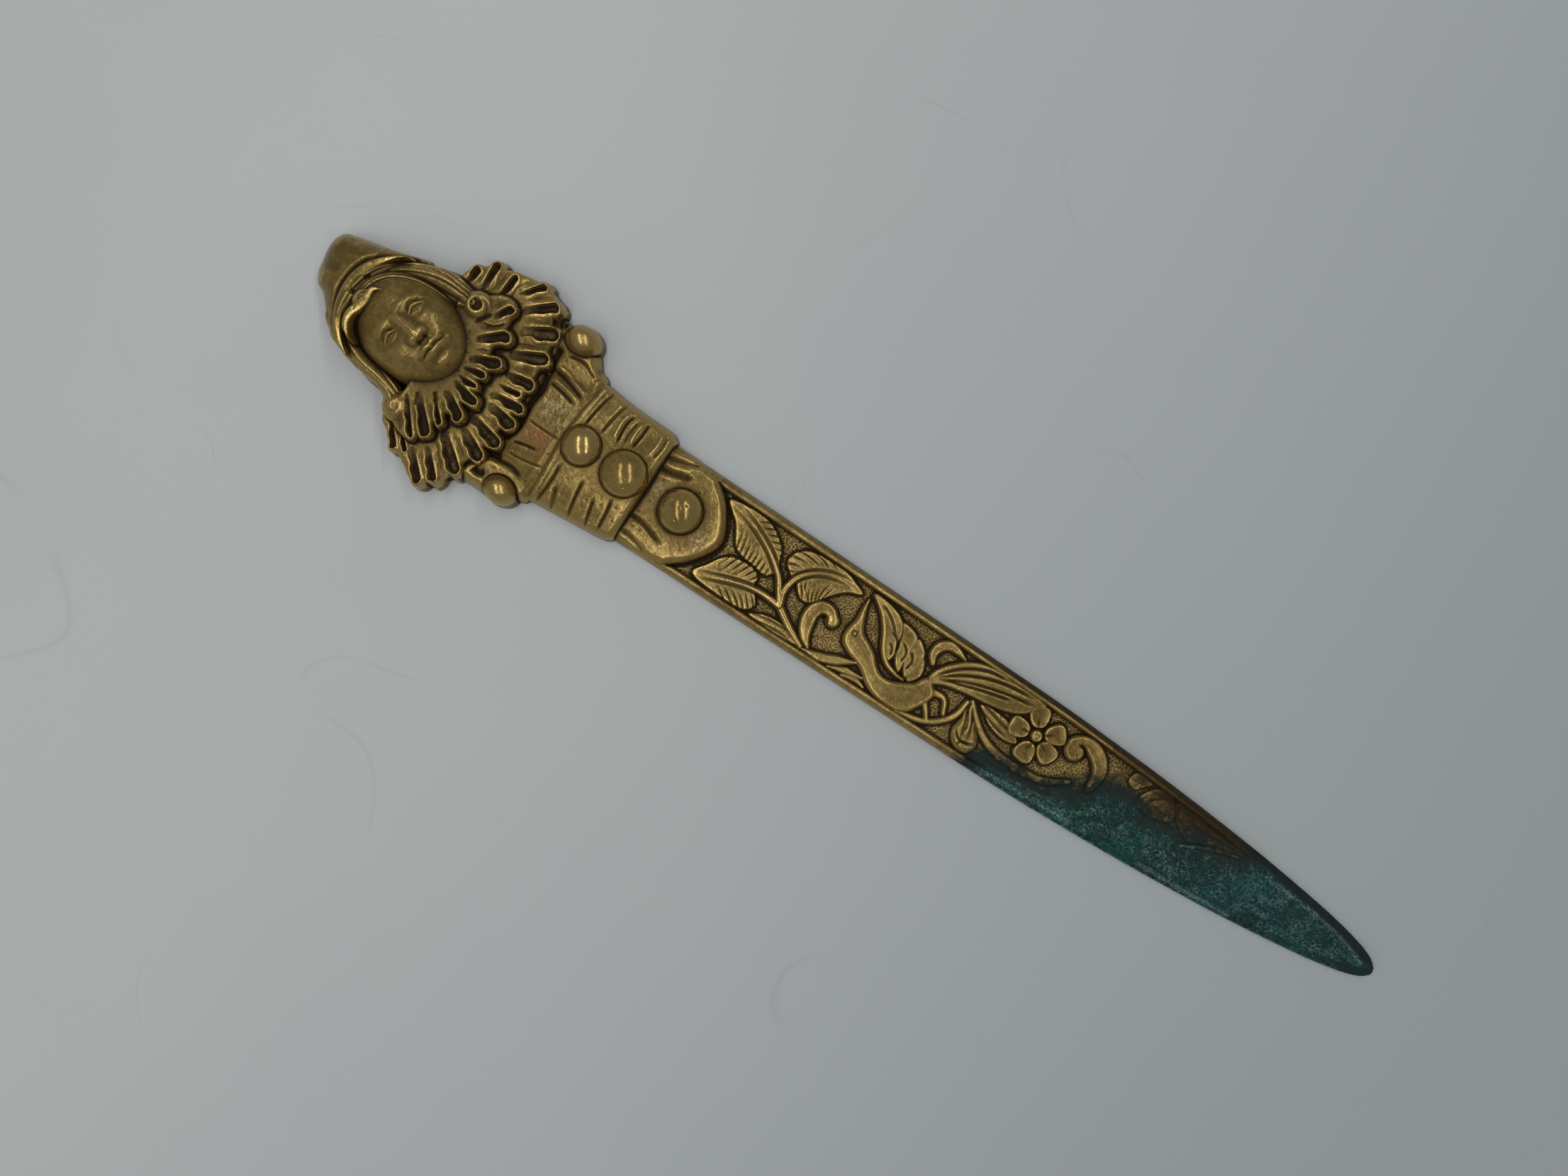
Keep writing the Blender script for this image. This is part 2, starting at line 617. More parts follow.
# %% Apron
apron_z = 3.0
apron_lap = [
    (-43, 9.85), (-36, 9.75), (-31.4, 9.3), (-30, 8.2), (-28.1, 6.6), (-26.3, 4.3), (-25, 1.9),
    (-24.5, 0), (-24.9, -1.9), (-26.1, -4), (-27.9, -6.2), (-30, -8), (-31.4, -9.2), (-36, -9.7),
    (-43, -9.85),
]
apron_spot, apron_depth = depth_of(apron_lap, apron_z, closed=False)
side_roll = unit((np.abs(grid_y[apron_spot]) - 6.5) / 3.0) ** 2
apron_form = cushion(apron_depth, top=3.3, edge=1.5, drop=1.1) - 0.8 * side_roll
press("apron", apron_spot, apron_form, fillet=0.15)
chase(
    apron_z,
    (0.5, 0.42, (-40.4, 7.2), (-38.4, 7.8), (-34.5, 9)),
    (0.45, 0.42, (-40.4, 5), (-38.2, 5.3), (-34.6, 6.3)),
    (0.5, 0.42, (-40.4, -4.5), (-37.5, -4.7), (-33.4, -6)),
    (0.45, 0.42, (-40.2, -7.6), (-38, -7.9), (-34.8, -8.8)),
    (-0.25, 0.5, (-40.4, 6.1), (-38.3, 6.4), (-35.5, 7.3)),
    (-0.2, 0.5, (-40.4, 3.8), (-38.4, 4.2), (-36, 4.9)),
    (-0.16, 0.45, (-29.2, 6.3), (-26.6, 3), (-25.6, 0), (-26.4, -3.2), (-29.2, -6.3)),
    only=["apron"],
)
apron_foot = [
    (-30.4, 8.3), (-27.8, 6.9), (-25.8, 4.4), (-24.4, 1.9), (-23.9, 0), (-24.3, -2), (-25.6, -4.3),
    (-27.6, -6.6), (-30.2, -8.2),
]
chase(ground_z, (0.45, 0.36, *apron_foot), ends=None, only=["blade", "panel_border"])
print("apron pressed")

# %% [markdown]
# The sash is wound round the waist, so it bulges across like a barrel and its folds
# run straight across it, with one tight roll along its upper hem. The bodice above
# it is smoother, with a few long creases that come out from under the ruff.

# %% Bodice and sash
def barrel(spot, crest, half_width, fall):
    """The rounded height of cloth wrapped over the front of the body."""
    return crest - fall * np.clip(np.abs(grid_y[spot] - 0.2) / half_width, 0, 1.2) ** 2.6


sash_z = 5.0
bodice_lap = [
    (-67.5, 12.6), (-64, 13.2), (-60.5, 13.4), (-58.6, 12.6), (-56.6, 12.2), (-55.5, 6), (-55.5, -6),
    (-56.8, -12.2), (-58.6, -12.6), (-61, -12.8), (-64.5, -12), (-67.5, -11.4),
]
shoulders = [
    [(-69, 16.6), (-66.6, 17), (-64, 17.6), (-61.4, 16.9), (-59.9, 15.2), (-58.3, 13.2),
     (-56.8, 12.3), (-58, 9), (-66, 9)],
    [(-70, -15), (-66.6, -15.3), (-64, -15.4), (-61.8, -15.4), (-60, -14.8), (-58.6, -13.4),
     (-56.8, -12.3), (-58, -9), (-66, -9)],
]
for shoulder in shoulders:
    patch("bodice", shoulder, rise=4.1, edge=1.8, z=3.0, floor=0.0)
bodice_spot, bodice_depth = depth_of(bodice_lap, z=4.0, margin=1.2)
bodice_slope = np.interp(grid_x[bodice_spot], [-67, -63.5, -58], [-1.9, -0.9, 0])
bodice_form = bodice_slope + barrel(bodice_spot, crest=5.2, half_width=12.4, fall=2.0)
bodice_form = bodice_form + cushion(bodice_depth, top=0, edge=1.4, drop=0.9)
press("bodice", bodice_spot, bodice_form, fillet=0.3)
sash_lap = [
    (-57.4, 12.1), (-55, 11.8), (-50, 11.25), (-45, 11.1), (-42.2, 11), (-41.2, 10.5), (-40.6, 9.4),
    (-40.5, 4), (-40.5, -4), (-40.6, -9), (-41.4, -10.2), (-43, -10.7), (-50, -11.4), (-55, -11.9),
    (-57.4, -12.2),
]
sash_spot, sash_depth = depth_of(sash_lap, z=3.5, margin=1.2, closed=False)
sash_form = barrel(sash_spot, crest=5.55, half_width=11.6, fall=2.3)
sash_form = sash_form + cushion(sash_depth, top=0, edge=1.3, drop=0.9)
press("sash", sash_spot, sash_form, fillet=0.3)
print("bodice and sash pressed")

# %% [markdown]
# The folds of the sash are chased one by one, because no two are alike: most are cut
# in, and three rolls between them are raised. Then the cord goes over the seam, and
# the bodice gets its creases.

# %% Folds and cord
chase(
    sash_z,
    (0.39, 0.22, (-54.3, 11.8), (-54.9, 8), (-55.3, 3.8)),
    (0.35, 0.26, (-51.2, 11.4), (-51.8, 8), (-52.2, 4.2)),
    (0.44, 0.21, (-49, 10.2), (-49.4, 8), (-49, 4.4)),
    (0.28, 0.19, (-47.9, 9.6), (-48.1, 7), (-47.9, 5)),
    (0.46, 0.22, (-46.2, 10.4), (-46.1, 8), (-46.3, 5.2)),
    (0.33, 0.22, (-42.4, 10.4), (-42, 8), (-42.3, 5.6)),
    (0.44, 0.26, (-55, -3.9), (-55, -8), (-55.7, -12.2)),
    (0.46, 0.38, (-53.7, -7.6), (-53.2, -9.4), (-52.6, -11.8)),
    (0.46, 0.26, (-50.2, -4.2), (-49.9, -7.5), (-49.4, -11.2)),
    (0.44, 0.26, (-47, -5.8), (-46.5, -8.4), (-46, -11)),
    (0.46, 0.24, (-44.3, -4.2), (-43.9, -7), (-43.8, -10.4)),
    (-0.22, 0.3, (-49.9, 10), (-50.2, 8), (-49.9, 4.8)),
    (-0.22, 0.3, (-47, 10), (-47.2, 8), (-47, 5.4)),
    (-0.22, 0.3, (-43.2, 10.2), (-42.9, 8), (-43.2, 5.4)),
    only=["sash"],
)
cord_radius = 0.95
cord_line = drawn([(-55.9, 12), (-56.3, 6), (-56.6, 0), (-56.4, -6), (-56.5, -12.2)], sash_z)
cord_spot = window(cord_line, 1.6)
cord_away = np.abs(beside(cord_spot, cord_line)[0])
cord_form = barrel(cord_spot, crest=5.75, half_width=11.8, fall=2.3)
cord_form = cord_form + cushion(cord_radius - cord_away, top=0, edge=cord_radius, drop=0.7)
past_end = np.abs(grid_y[cord_spot]) - 10.9
press("waist_cord", cord_spot, cord_form - 3 * np.clip(past_end, 0, 2), fillet=0.1)
chase(
    sash_z,
    (0.46, 0.25, (-65.2, 9.2), (-62, 8.6), (-58.2, 7.4)),
    (0.46, 0.23, (-65, 7), (-62, 6.6), (-59, 5.9)),
    (0.28, 0.17, (-64.4, -0.5), (-61, -0.6), (-57.8, -0.6)),
    (0.44, 0.25, (-64.6, -5.2), (-62, -4.5), (-59.9, -4.2)),
    (0.28, 0.20, (-64.6, -7.2), (-61, -6.9), (-57.6, -6.2)),
    (0.44, 0.35, (-65.5, -9.4), (-62.5, -9), (-60, -9.6)),
    (0.39, 0.27, (-64.5, 12.6), (-61.5, 12.9), (-58.4, 11.6)),
    (-0.3, 0.42, (-65.2, 10.1), (-62, 9.5), (-57.9, 8.2)),
    (-0.25, 0.36, (-65, 7.9), (-62, 7.5), (-58.6, 6.7)),
    only=["bodice"],
)
print("folds chased and cord pressed")

# %% [markdown]
# Five round buttons sit on the costume: three down the front and a pompom at each
# shoulder. Their places and sizes come straight from the frame.

# %% Buttons and pompoms
moat_depth = 0.14
moat_width = 0.17
buttons = ["button_upper", "button_middle", "button_lower"]


def dome(piece, stretch=(1, 1), nudge=(0, 0), foot=None, settle=0.0, swell=1.0):
    """A round button as large as its node, with a thin moat round its foot."""
    low, high = (np.array(corner) * per_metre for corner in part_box(piece))
    middle, radius = (low + high)[:2] / 2 + nudge, (high - low)[0] / 2
    top = high[2] - settle
    spot = window([middle], radius + 1.5)
    x, y = offsets(spot, middle)
    away = np.hypot(x / stretch[0], y / stretch[1])
    if foot is None:
        foot = np.median(height[spot][(away > radius) & (away < radius + 0.6)])
    height[spot] -= moat_depth * bell(away - radius - 0.1, moat_width) * (height[spot] > 1.0)
    rise = min(top - min(foot, top - 1.5), swell * radius)
    ball = (rise**2 + radius**2) / (2 * rise)
    cap = np.sqrt(np.clip(ball**2 - away**2, 0, None)) - ball + top
    form = np.where(away < radius, cap, top - rise - wall_slope * (away - radius))
    press(piece, spot, form, fillet=0.1)


for button in buttons:
    dome(button, swell=0.54)
for pompom, nudge in [("pompom_left", (-0.8, 0.95)), ("pompom_right", (0.2, -0.15))]:
    dome(pompom, stretch=(0.87, 0.72), nudge=nudge, foot=3.0, settle=0.9)
print("buttons pressed:", len(buttons), "and a pompom at each shoulder")

# %% [markdown]
# The ruff is the showpiece: two tiers of starched pleats that fan out under the chin.
# Each pleat is a hollow tube seen end on, so it reads as a dark trough with a bright
# raised lip round its outer end. A trough is one straight line from the neck to the
# edge, and a tier is the sum of the lobes round all its troughs.

# %% Pleats of the ruff
pleat_lip = 0.48
pleat_wall = 0.62
ruff_middle = (-84.5, 0.3)
trough_floor = np.zeros(height.shape)


def ruff_tier(piece, z, edge_height, seat_height, body, troughs, deep):
    """One tier of pleats: a body inside an outline, and a lobe with a trough for each pleat."""
    spot, depth = depth_of(body, z, 2.6)
    x, y = grid_x[spot], grid_y[spot]
    wobble = 0.09 * np.sin(1.9 * x + 0.8 * y + z) + 0.08 * np.sin(1.3 * y - 2.3 * x + 2 * z)
    inside = np.full(depth.shape, -9.0)
    reach = np.zeros(depth.shape)
    for inner, outer, half_width in troughs:
        away, run = beside(spot, drawn([inner, outer], z, per=2))
        within = half_width * (0.72 + 0.34 * run) + 0.6 * wobble - np.abs(away + 0.7 * wobble)
        closer = within > inside
        inside = np.where(closer, within, inside)
        reach = np.where(closer, run, reach)
    lobe = inside + pleat_lip
    blend = unit(0.5 + 0.5 * (lobe - depth) / 0.5)
    depth = depth + (lobe - depth) * blend + 0.5 * blend * (1 - blend)
    from_neck = np.hypot(*offsets(spot, seen(ruff_middle, z)[0]))
    slope = np.interp(from_neck, [9, 20], [seat_height, edge_height])
    lip = 0.2 * bell(inside + 0.08, 0.34) * unit(2.2 * reach - 0.3)
    valley = 0.55 * np.clip(-inside - 0.45, 0, 0.8) * unit(1.8 * reach)
    floor_share = unit(inside / pleat_wall)
    hollow = deep * floor_share * (2 - floor_share) * unit(0.2 + 1.3 * reach)
    form = cushion(depth, top=0, edge=0.5, drop=0.45) + slope + lip - hollow - valley
    trough_floor[spot] = np.where(form > height[spot], floor_share, trough_floor[spot])
    press(piece, spot, form, fillet=0.15)


lower_troughs = [
    ((-71.2, -0.3), (-66.5, 0), 0.8), ((-70.4, -2.2), (-66.4, -3.1), 1.0),
    ((-72, -5.6), (-66.8, -7.1), 1.0), ((-71.9, -8.4), (-68.1, -10.6), 1.05),
    ((-74.8, -10.6), (-70.2, -14.7), 1.05), ((-75.6, -14.4), (-72.4, -18.1), 0.7),
    ((-77.9, -16), (-74.6, -19.7), 0.8), ((-81.2, -14.2), (-79, -16.6), 0.45),
    ((-83.6, -13.6), (-81, -17), 0.5), ((-71.2, 1.6), (-67.9, 2), 0.5),
    ((-71.1, 3.9), (-67.3, 4.4), 0.9), ((-72.3, 7.2), (-67.7, 9.3), 1.1),
    ((-72.8, 11.8), (-68.7, 13.8), 1.2), ((-74.6, 15), (-70.9, 17.8), 0.9),
    ((-76.9, 16.8), (-74.4, 19.8), 0.55), ((-79.7, 14.4), (-79.2, 18.4), 0.6),
    ((-82.9, 14), (-83, 18.4), 0.65), ((-85.7, 13.8), (-85.5, 16), 0.65),
]
upper_troughs = [
    ((-77.6, -0.9), (-74.8, -1), 0.5), ((-77.6, -2.2), (-73.6, -3.3), 0.8),
    ((-77.7, -4.5), (-74.5, -6.7), 0.9), ((-79, -6.6), (-76.5, -9.4), 0.5),
    ((-81.4, -7.8), (-77.7, -12), 0.85), ((-83.4, -8.6), (-79.5, -14), 0.5),
    ((-77.5, 0.9), (-74.7, 1.4), 0.6), ((-77.5, 2.9), (-73.8, 4.3), 0.9),
    ((-78.3, 6.4), (-75.1, 8.9), 0.95), ((-78.2, 11.4), (-76.9, 13.3), 0.7),
]
print("pleats to press:", len(lower_troughs) + len(upper_troughs))

# %% [markdown]
# The lower tier lies flat on the shoulders and the upper one stands on it, so they are
# pressed in that order. Gaps between the ruff and the cloth below are cut afterwards,
# as the dark line that a lifted hem throws.

# %% Tiers of the ruff
lower_body = [
    (-87.2, 13.4), (-85.8, 16.6), (-84, 18), (-80, 19.5), (-76, 20.2), (-73, 20), (-70.4, 18.6),
    (-68.6, 15.8), (-67.6, 11.5), (-67.2, 6.8), (-67, 2.4), (-67, -2), (-67.4, -5.4), (-68.2, -9.4),
    (-69.4, -13.2), (-70.8, -16.8), (-73.2, -19.2), (-75.6, -20.2), (-80, -17.8), (-83, -16),
    (-85.6, -13.2), (-84, -6), (-84, 6),
]
upper_body = [
    (-82.4, 12.6), (-79.6, 15), (-76.6, 14.8), (-75.8, 11), (-75.9, 6.8), (-75, 2.6), (-74.8, -1.8),
    (-75.2, -5), (-76.8, -8.6), (-77.6, -11.8), (-79.2, -14.4), (-82, -14.6), (-85, -12),
    (-84.5, -7.4), (-84.5, 6), (-85, 11),
]
lower_z, upper_z, hem_z = 4.8, 6.5, 4.0
ruff_tier("ruff_lower_tier", lower_z, 4.7, 5.3, lower_body, lower_troughs, deep=1.05)
ruff_tier("ruff_upper_tier", upper_z, 6.4, 7.4, upper_body, upper_troughs, deep=1.0)
chase(
    lower_z,
    (1.3, 0.75, (-71, -16.9), (-69.6, -17), (-68.4, -16.8)),
    (1.3, 0.75, (-70, 15.7), (-68.8, 16.3), (-67.6, 16.8)),
)
ruff_gap = [
    (-66, 12.2), (-65.9, 10), (-65.6, 7.4), (-65, 5), (-65.3, 2), (-65.1, 0), (-64.8, -2.4),
    (-65.6, -4.8),
]
chase(hem_z, (1.4, 0.6, *ruff_gap), ends=None, only=["bodice"])
gap_line = drawn(ruff_gap, hem_z)
gap_spot = window(gap_line, 2.0)
gap_away = np.abs(beside(gap_spot, gap_line)[0])
trough_floor[gap_spot] = np.maximum(trough_floor[gap_spot], 1.6 * bell(gap_away, 0.75))
chase(hem_z, (0.8, 0.5, (-66.9, -8.8), (-65.6, -8.9), (-64.4, -8.4)), only=["bodice"])
chase(hem_z, (1.2, 0.6, (-67.4, -12.6), (-66.4, -12.9), (-65.2, -12.4)))
print("both tiers of the ruff pressed")

# %% [markdown]
# The cap is soft cloth over the crown of the head, folded to a blunt double end and
# tucked into a small knot. Cloth could be simulated, but cast cloth is no more than one
# swelling with two shallow dents in it.

# %% Cap
cap_z = 6.0
crown_lap = [
    (-94, 12.6), (-98, 11.3), (-102, 10.3), (-106, 9.6), (-108.6, 8.9), (-109.8, 7.2), (-109.9, 5),
    (-109.5, 2.6), (-109, 0.9), (-107.8, -0.9), (-105.8, -1.9), (-103.4, -4.2), (-101.4, -6.2),
    (-98.4, -7.4), (-96, 0), (-94, 8),
]
crown_spot, crown_depth = depth_of(crown_lap, z=4.5, margin=1.5)
crown_top = np.interp(grid_x[crown_spot], [-109, -103, -99, -96, -94], [5.5, 7.4, 8.2, 7.6, 6.2])
crown_form = crown_top + cushion(crown_depth, top=0, edge=3.6, drop=3.1)
press("cap_crown", crown_spot, crown_form, fillet=0.3)
chase(
    cap_z,
    (0.4, 1.1, (-110.6, 2.8), (-107.6, 3.1), (-104.4, 3.2)),
    (0.18, 0.8, (-108, 6.6), (-105.8, 6.9), (-103.6, 7.2)),
    only=["cap_crown"],
)
patch(
    "cap_knot",
    [(-103.7, -3.9), (-103.3, -5.2), (-102, -6.4), (-100, -7.4), (-98.2, -8), (-97.6, -7.2),
     (-99.6, -5.8), (-101.4, -4.2), (-102.4, -3.2)],
    rise=5.6, edge=1.2, fillet=0.3, z=4.5, floor=0.0,
)
print("cap pressed")

# %% [markdown]
# The head is an egg that leans a little to one side. Its face is a plain, calm one
# laid out by the drawing master's rule: hairline, brow, foot of the nose and chin at
# equal thirds, five eye widths across, the mouth a third of the way down from the
# nose. Each feature is one soft bump or hollow on the egg.

# %% Head
head_tilt = math.radians(7)
head_half_length, head_half_width, head_rise = 11.9, 8.75, 8.2
head_low, head_high = (np.array(corner) * per_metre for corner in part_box("head"))
head_middle = (head_low + head_high)[:2] / 2 + (0.6, 0)
head_spot = window([head_middle], 13.5)
off_x, off_y = offsets(head_spot, head_middle)
down_face = off_x * math.cos(head_tilt) - off_y * math.sin(head_tilt)
over_face = off_x * math.sin(head_tilt) + off_y * math.cos(head_tilt)
either_side = np.abs(over_face)


def bump(at_down, at_over, long, wide, rise):
    """A soft swelling of the face, the same on both sides; a negative rise is a hollow."""
    return rise * np.exp(-(((down_face - at_down) / long) ** 2) - ((either_side - at_over) / wide) ** 2)


egg = np.hypot(down_face / head_half_length, over_face / head_half_width)
head_top = head_high[2] - 0.9
face = head_top - head_rise + head_rise * np.sqrt(unit(1 - egg**2.3))
face -= 14 * unit(egg - 0.985)
chin = 10.3
hairline = -7.6
third = (chin - hairline) / 3
brow, nose_foot = hairline + third, chin - third
eye_line = brow + 1.75
mouth_line = nose_foot + third / 3
eye_width = 2 * head_half_width * 0.92 / 5
print("head laid out in thirds of", round(third, 2), "mm")

# %% [markdown]
# The features go on from the large to the small: brow, sockets, nose, lips and chin.
# Each is placed from the lines just laid out and is the same on both sides. Sculpting
# could do this too, but a sum of bumps stays even. The lids and the parting of the lips
# are thin chased lines.

# %% Features of the face
face += bump(brow - 2.6, 0, 2.6, 4.5, 0.2) + bump(brow - 0.1, 2.9, 0.9, 2.2, 0.28)
face += bump(eye_line, eye_width, 1.25, 1.9, -0.8) + bump(eye_line + 0.05, eye_width, 0.8, 1.25, 0.62)
nose_places = [brow - 0.6, brow + 0.9, nose_foot - 1.3, nose_foot - 0.3, nose_foot + 0.3]
nose_rise = np.interp(down_face, nose_places, [0, 0.6, 1.55, 1.3, 0])
nose_wide = np.interp(down_face, [brow, nose_foot - 1], [0.9, 1.2])
face += nose_rise * bell(over_face, nose_wide)
face += bump(nose_foot - 0.75, 1.3, 0.6, 0.55, 0.62) + bump(nose_foot + 0.15, 0.7, 0.3, 0.38, -0.35)
face += bump(nose_foot + 0.95, 0, 0.7, 0.35, -0.15) + bump(mouth_line, 0, 1.6, 2.5, 0.4)
face += bump(mouth_line - 0.58, 0.7, 0.42, 1.1, 0.36) + bump(mouth_line + 0.66, 0, 0.52, 1.45, 0.5)
face += bump(mouth_line + 0.1, 2.8, 0.5, 0.45, -0.2)
face += bump(mouth_line + 1.75, 0, 0.5, 1.7, -0.3) + bump(chin - 1.5, 0, 1.1, 1.7, 0.5)
face += bump(nose_foot - 1.2, 4.3, 2.4, 2.0, 0.4) + bump(eye_line + 0.15, eye_width, 0.28, 0.28, -0.12)
press("head", head_spot, face, fillet=0.12)

lid_ends = (5, 0.05)


def face_line(deep, wide, *points):
    """Chases a line given in the face's own directions, once on each side."""
    down, over = np.array(points).T
    for across in (over, -over):
        x = head_middle[0] + down * math.cos(head_tilt) + across * math.sin(head_tilt)
        y = head_middle[1] - down * math.sin(head_tilt) + across * math.cos(head_tilt)
        furrow(smooth(np.column_stack([x, y])), deep, wide, ends=lid_ends)


eye_corners = [(eye_line, eye_width / 2), (eye_line, eye_width), (eye_line, eye_width * 1.5)]
# Each line of a lid: depth, width, and how far it lies from the eye's corners and middle.
for deep, wide, at_inner, at_middle, at_outer in [
    (-0.2, 0.24, (0.2, 0), (-0.62, -0.1), (0.1, 0)),
    (0.2, 0.22, (-0.35, 0.1), (-1.2, 0), (-0.4, 0.25)),
    (0.18, 0.16, (0.3, 0), (-0.22, -0.1), (0.25, -0.1)),
    (-0.12, 0.2, (0.3, 0), (0.8, 0), (0.2, 0)),
]:
    face_line(deep, wide, *(np.array([at_inner, at_middle, at_outer]) + eye_corners))
face_line(0.32, 0.18, (mouth_line + 0.12, 0), (mouth_line - 0.06, 0.9), (mouth_line + 0.1, 2.5))
print("face pressed, eyes", round(eye_width, 2), "mm wide")

# %% [markdown]
# Hair could be hundreds of strands. On a casting it is a few smooth locks with combed
# furrows, so each lock is a lap over the side of the head, and its furrows are counted
# across the line along which it flows.

# %% Hair
hair_thickness = 0.6


def tress(piece, outline, flow, top, strand, comb_depth, drop, z=8.0):
    """A lock of combed hair: a rounded lap over the head, with furrows that follow its flow."""
    spot, depth = depth_of(outline, z, 1.2)
    away, run = beside(spot, drawn(flow, z))
    wobble = 0.3 * np.sin(5 * run + 1.5 * away)
    comb = np.abs(np.sin(np.pi * (away + wobble) / strand))
    over_head = height[spot] + cushion(depth, hair_thickness, edge=0.7, drop=hair_thickness)
    form = np.maximum(cushion(depth, top, edge=2.4, drop=drop), over_head)
    press(piece, spot, form - comb_depth * (1 - comb) ** 2, fillet=0.2)


tress(
    "hair_left",
    [(-102, 1.6), (-101.4, 5), (-99.6, 8.2), (-97, 10.6), (-94, 12.2), (-91, 13.2), (-88, 13.5),
     (-85.4, 13), (-83, 12.4), (-82.6, 10.6), (-84.6, 9.2), (-87, 8.7), (-90, 8.6), (-93, 8.2),
     (-95.8, 7), (-97.6, 5.2), (-98.7, 3.4), (-99.2, 1.6)],
    [(-100.6, 1.6), (-99.8, 5.2), (-97.6, 8.2), (-94, 10.3), (-90, 11.1), (-86, 11.1), (-83.5, 10.8)],
    top=8.2, strand=0.95, comb_depth=0.38, drop=1.7,
)
tress(
    "hair_right",
    [(-102.2, 1), (-102.1, -2), (-101, -4.7), (-99, -6.9), (-96.4, -8.5), (-93.4, -9.5),
     (-90.5, -9.9), (-88.2, -10.8), (-86.8, -12), (-84.6, -12), (-84.2, -10.4), (-86, -8.8),
     (-88.4, -7.8), (-91.6, -7.3), (-94.6, -6.6), (-96.6, -5.2), (-98, -3.4), (-98.8, -1.4),
     (-99.2, 0.6)],
    [(-100.6, 0.4), (-100.2, -2.8), (-98.6, -5.6), (-95.2, -7.8), (-91, -8.9), (-87, -10),
     (-84.6, -11)],
    top=7.7, strand=1.1, comb_depth=0.26, drop=1.2,
)
print("hair pressed")

# %% [markdown]
# The turned-up band and the forelock are fat cords, as the scrolls were. The ends of
# the locks roll up into rings, and a spiral furrow with a small hole in its middle is
# all that such a ring needs.

# %% Band, forelock and curls
band_z, band_top_z, neck_z = 7.5, 8.5, 7.0
stem(
    "cap_band",
    [(-96.6, 11.4), (-97.6, 10.7), (-98.8, 9.6), (-100.6, 7.4), (-102, 4.6), (-102.4, 1.8),
     (-102, -1.4), (-100.8, -4.4), (-98.8, -6.8), (-96.2, -8.5)],
    [0.2, 0.6, 0.85, 1.05, 1.1, 1.1, 1.05, 0.95, 0.75, 0.4],
    rise=3.4, fillet=0.5, z=band_z, floor=4.9,
)
stem(
    "forelock",
    [(-97, 4.2), (-98.2, 3.2), (-98.3, 1.4), (-98.6, -0.4), (-99.2, -2.2), (-98.8, -4.2), (-97.2, -5.8)],
    [0.3, 0.75, 0.95, 0.95, 0.85, 0.7, 0.3],
    rise=3.1, fillet=0.3, z=9.5, floor=8.0,
)


def curl(piece, centre, radius, top, turns, start, hole, furrow_depth):
    """A lock rolled into a ring round a small dark hole, given by its depth and radius."""
    hole_depth, hole_radius = hole
    middle = seen(centre, top)[0]
    spot = window([middle], radius + 1.0)
    x, y = offsets(spot, middle)
    away = np.hypot(x, y)
    form = cushion(radius - away, top, edge=radius, drop=1.6)
    spiral = (np.arctan2(y, x) + start) / (2 * np.pi) + away / radius * turns
    from_furrow = np.abs(spiral - np.round(spiral)) * radius / turns
    form -= furrow_depth * bell(from_furrow, 0.28) * unit(away / 0.6)
    form -= hole_depth * np.exp(-((away / hole_radius) ** 4))
    press(piece, spot, form, fillet=0.15)


curl("forelock", (-99.6, 1), 2.0, 11.3, turns=0.8, start=1.0, hole=(0.7, 0.5), furrow_depth=0.45)
curl("curl_left", (-82.7, 11.1), 2.5, 8.6, turns=0.8, start=2.2, hole=(1.5, 0.95), furrow_depth=0.3)
curl("curl_right", (-84.7, -11.2), 2.6, 7.9, turns=0.9, start=-0.6, hole=(0.3, 0.6), furrow_depth=0.22)
band_foot = [
    (-94.6, 12.7), (-97.8, 11.2), (-100.6, 9.2), (-102.8, 6), (-103.7, 2.4), (-103.2, -1.6),
    (-101.8, -5), (-99.6, -7.4),
]
chase(band_z, (0.6, 0.4, *band_foot), ends=None)
chase(band_top_z, (0.6, 0.35, (-101.2, 4.2), (-100.8, 4.8), (-100.4, 5.2)))
chase(
    neck_z,
    (0.35, 0.3, (-82.4, -7), (-82, -8), (-81.4, -9.2)),
    (0.35, 0.3, (-80, -5.4), (-79.5, -6), (-78.9, -6.8)),
    (0.35, 0.3, (-80.8, 8.4), (-80, 9.6), (-79.2, 11.2)),
    only=["ruff_upper_tier"],
)
print("band, forelock and curls pressed")

# %% [markdown]
# Poured metal is never quite smooth. Two kinds of chance are enough for its skin: soft
# hills of any width, and scattered marks. Both come from one seeded source, so that the
# part is the same each time.

# %% Chance and blur
chance = np.random.default_rng(7)


def uneven(size):
    """Soft random hills about as wide as size, between -1 and 1."""
    across = int((mould_high[0] - mould_low[0]) / size) + 3
    along = int((mould_high[1] - mould_low[1]) / size) + 3
    dice = chance.uniform(-1, 1, (across, along))
    u = (grid_x[:, 0] - mould_low[0]) / size
    v = (grid_y[0] - mould_low[1]) / size
    i, j = u.astype(int), v.astype(int)
    fu, fv = u - i, v - j
    fu, fv = (fu * fu * (3 - 2 * fu))[:, None], fv * fv * (3 - 2 * fv)
    near = dice[np.ix_(i, j)] * (1 - fu) + dice[np.ix_(i + 1, j)] * fu
    far = dice[np.ix_(i, j + 1)] * (1 - fu) + dice[np.ix_(i + 1, j + 1)] * fu
    return near * (1 - fv) + far * fv


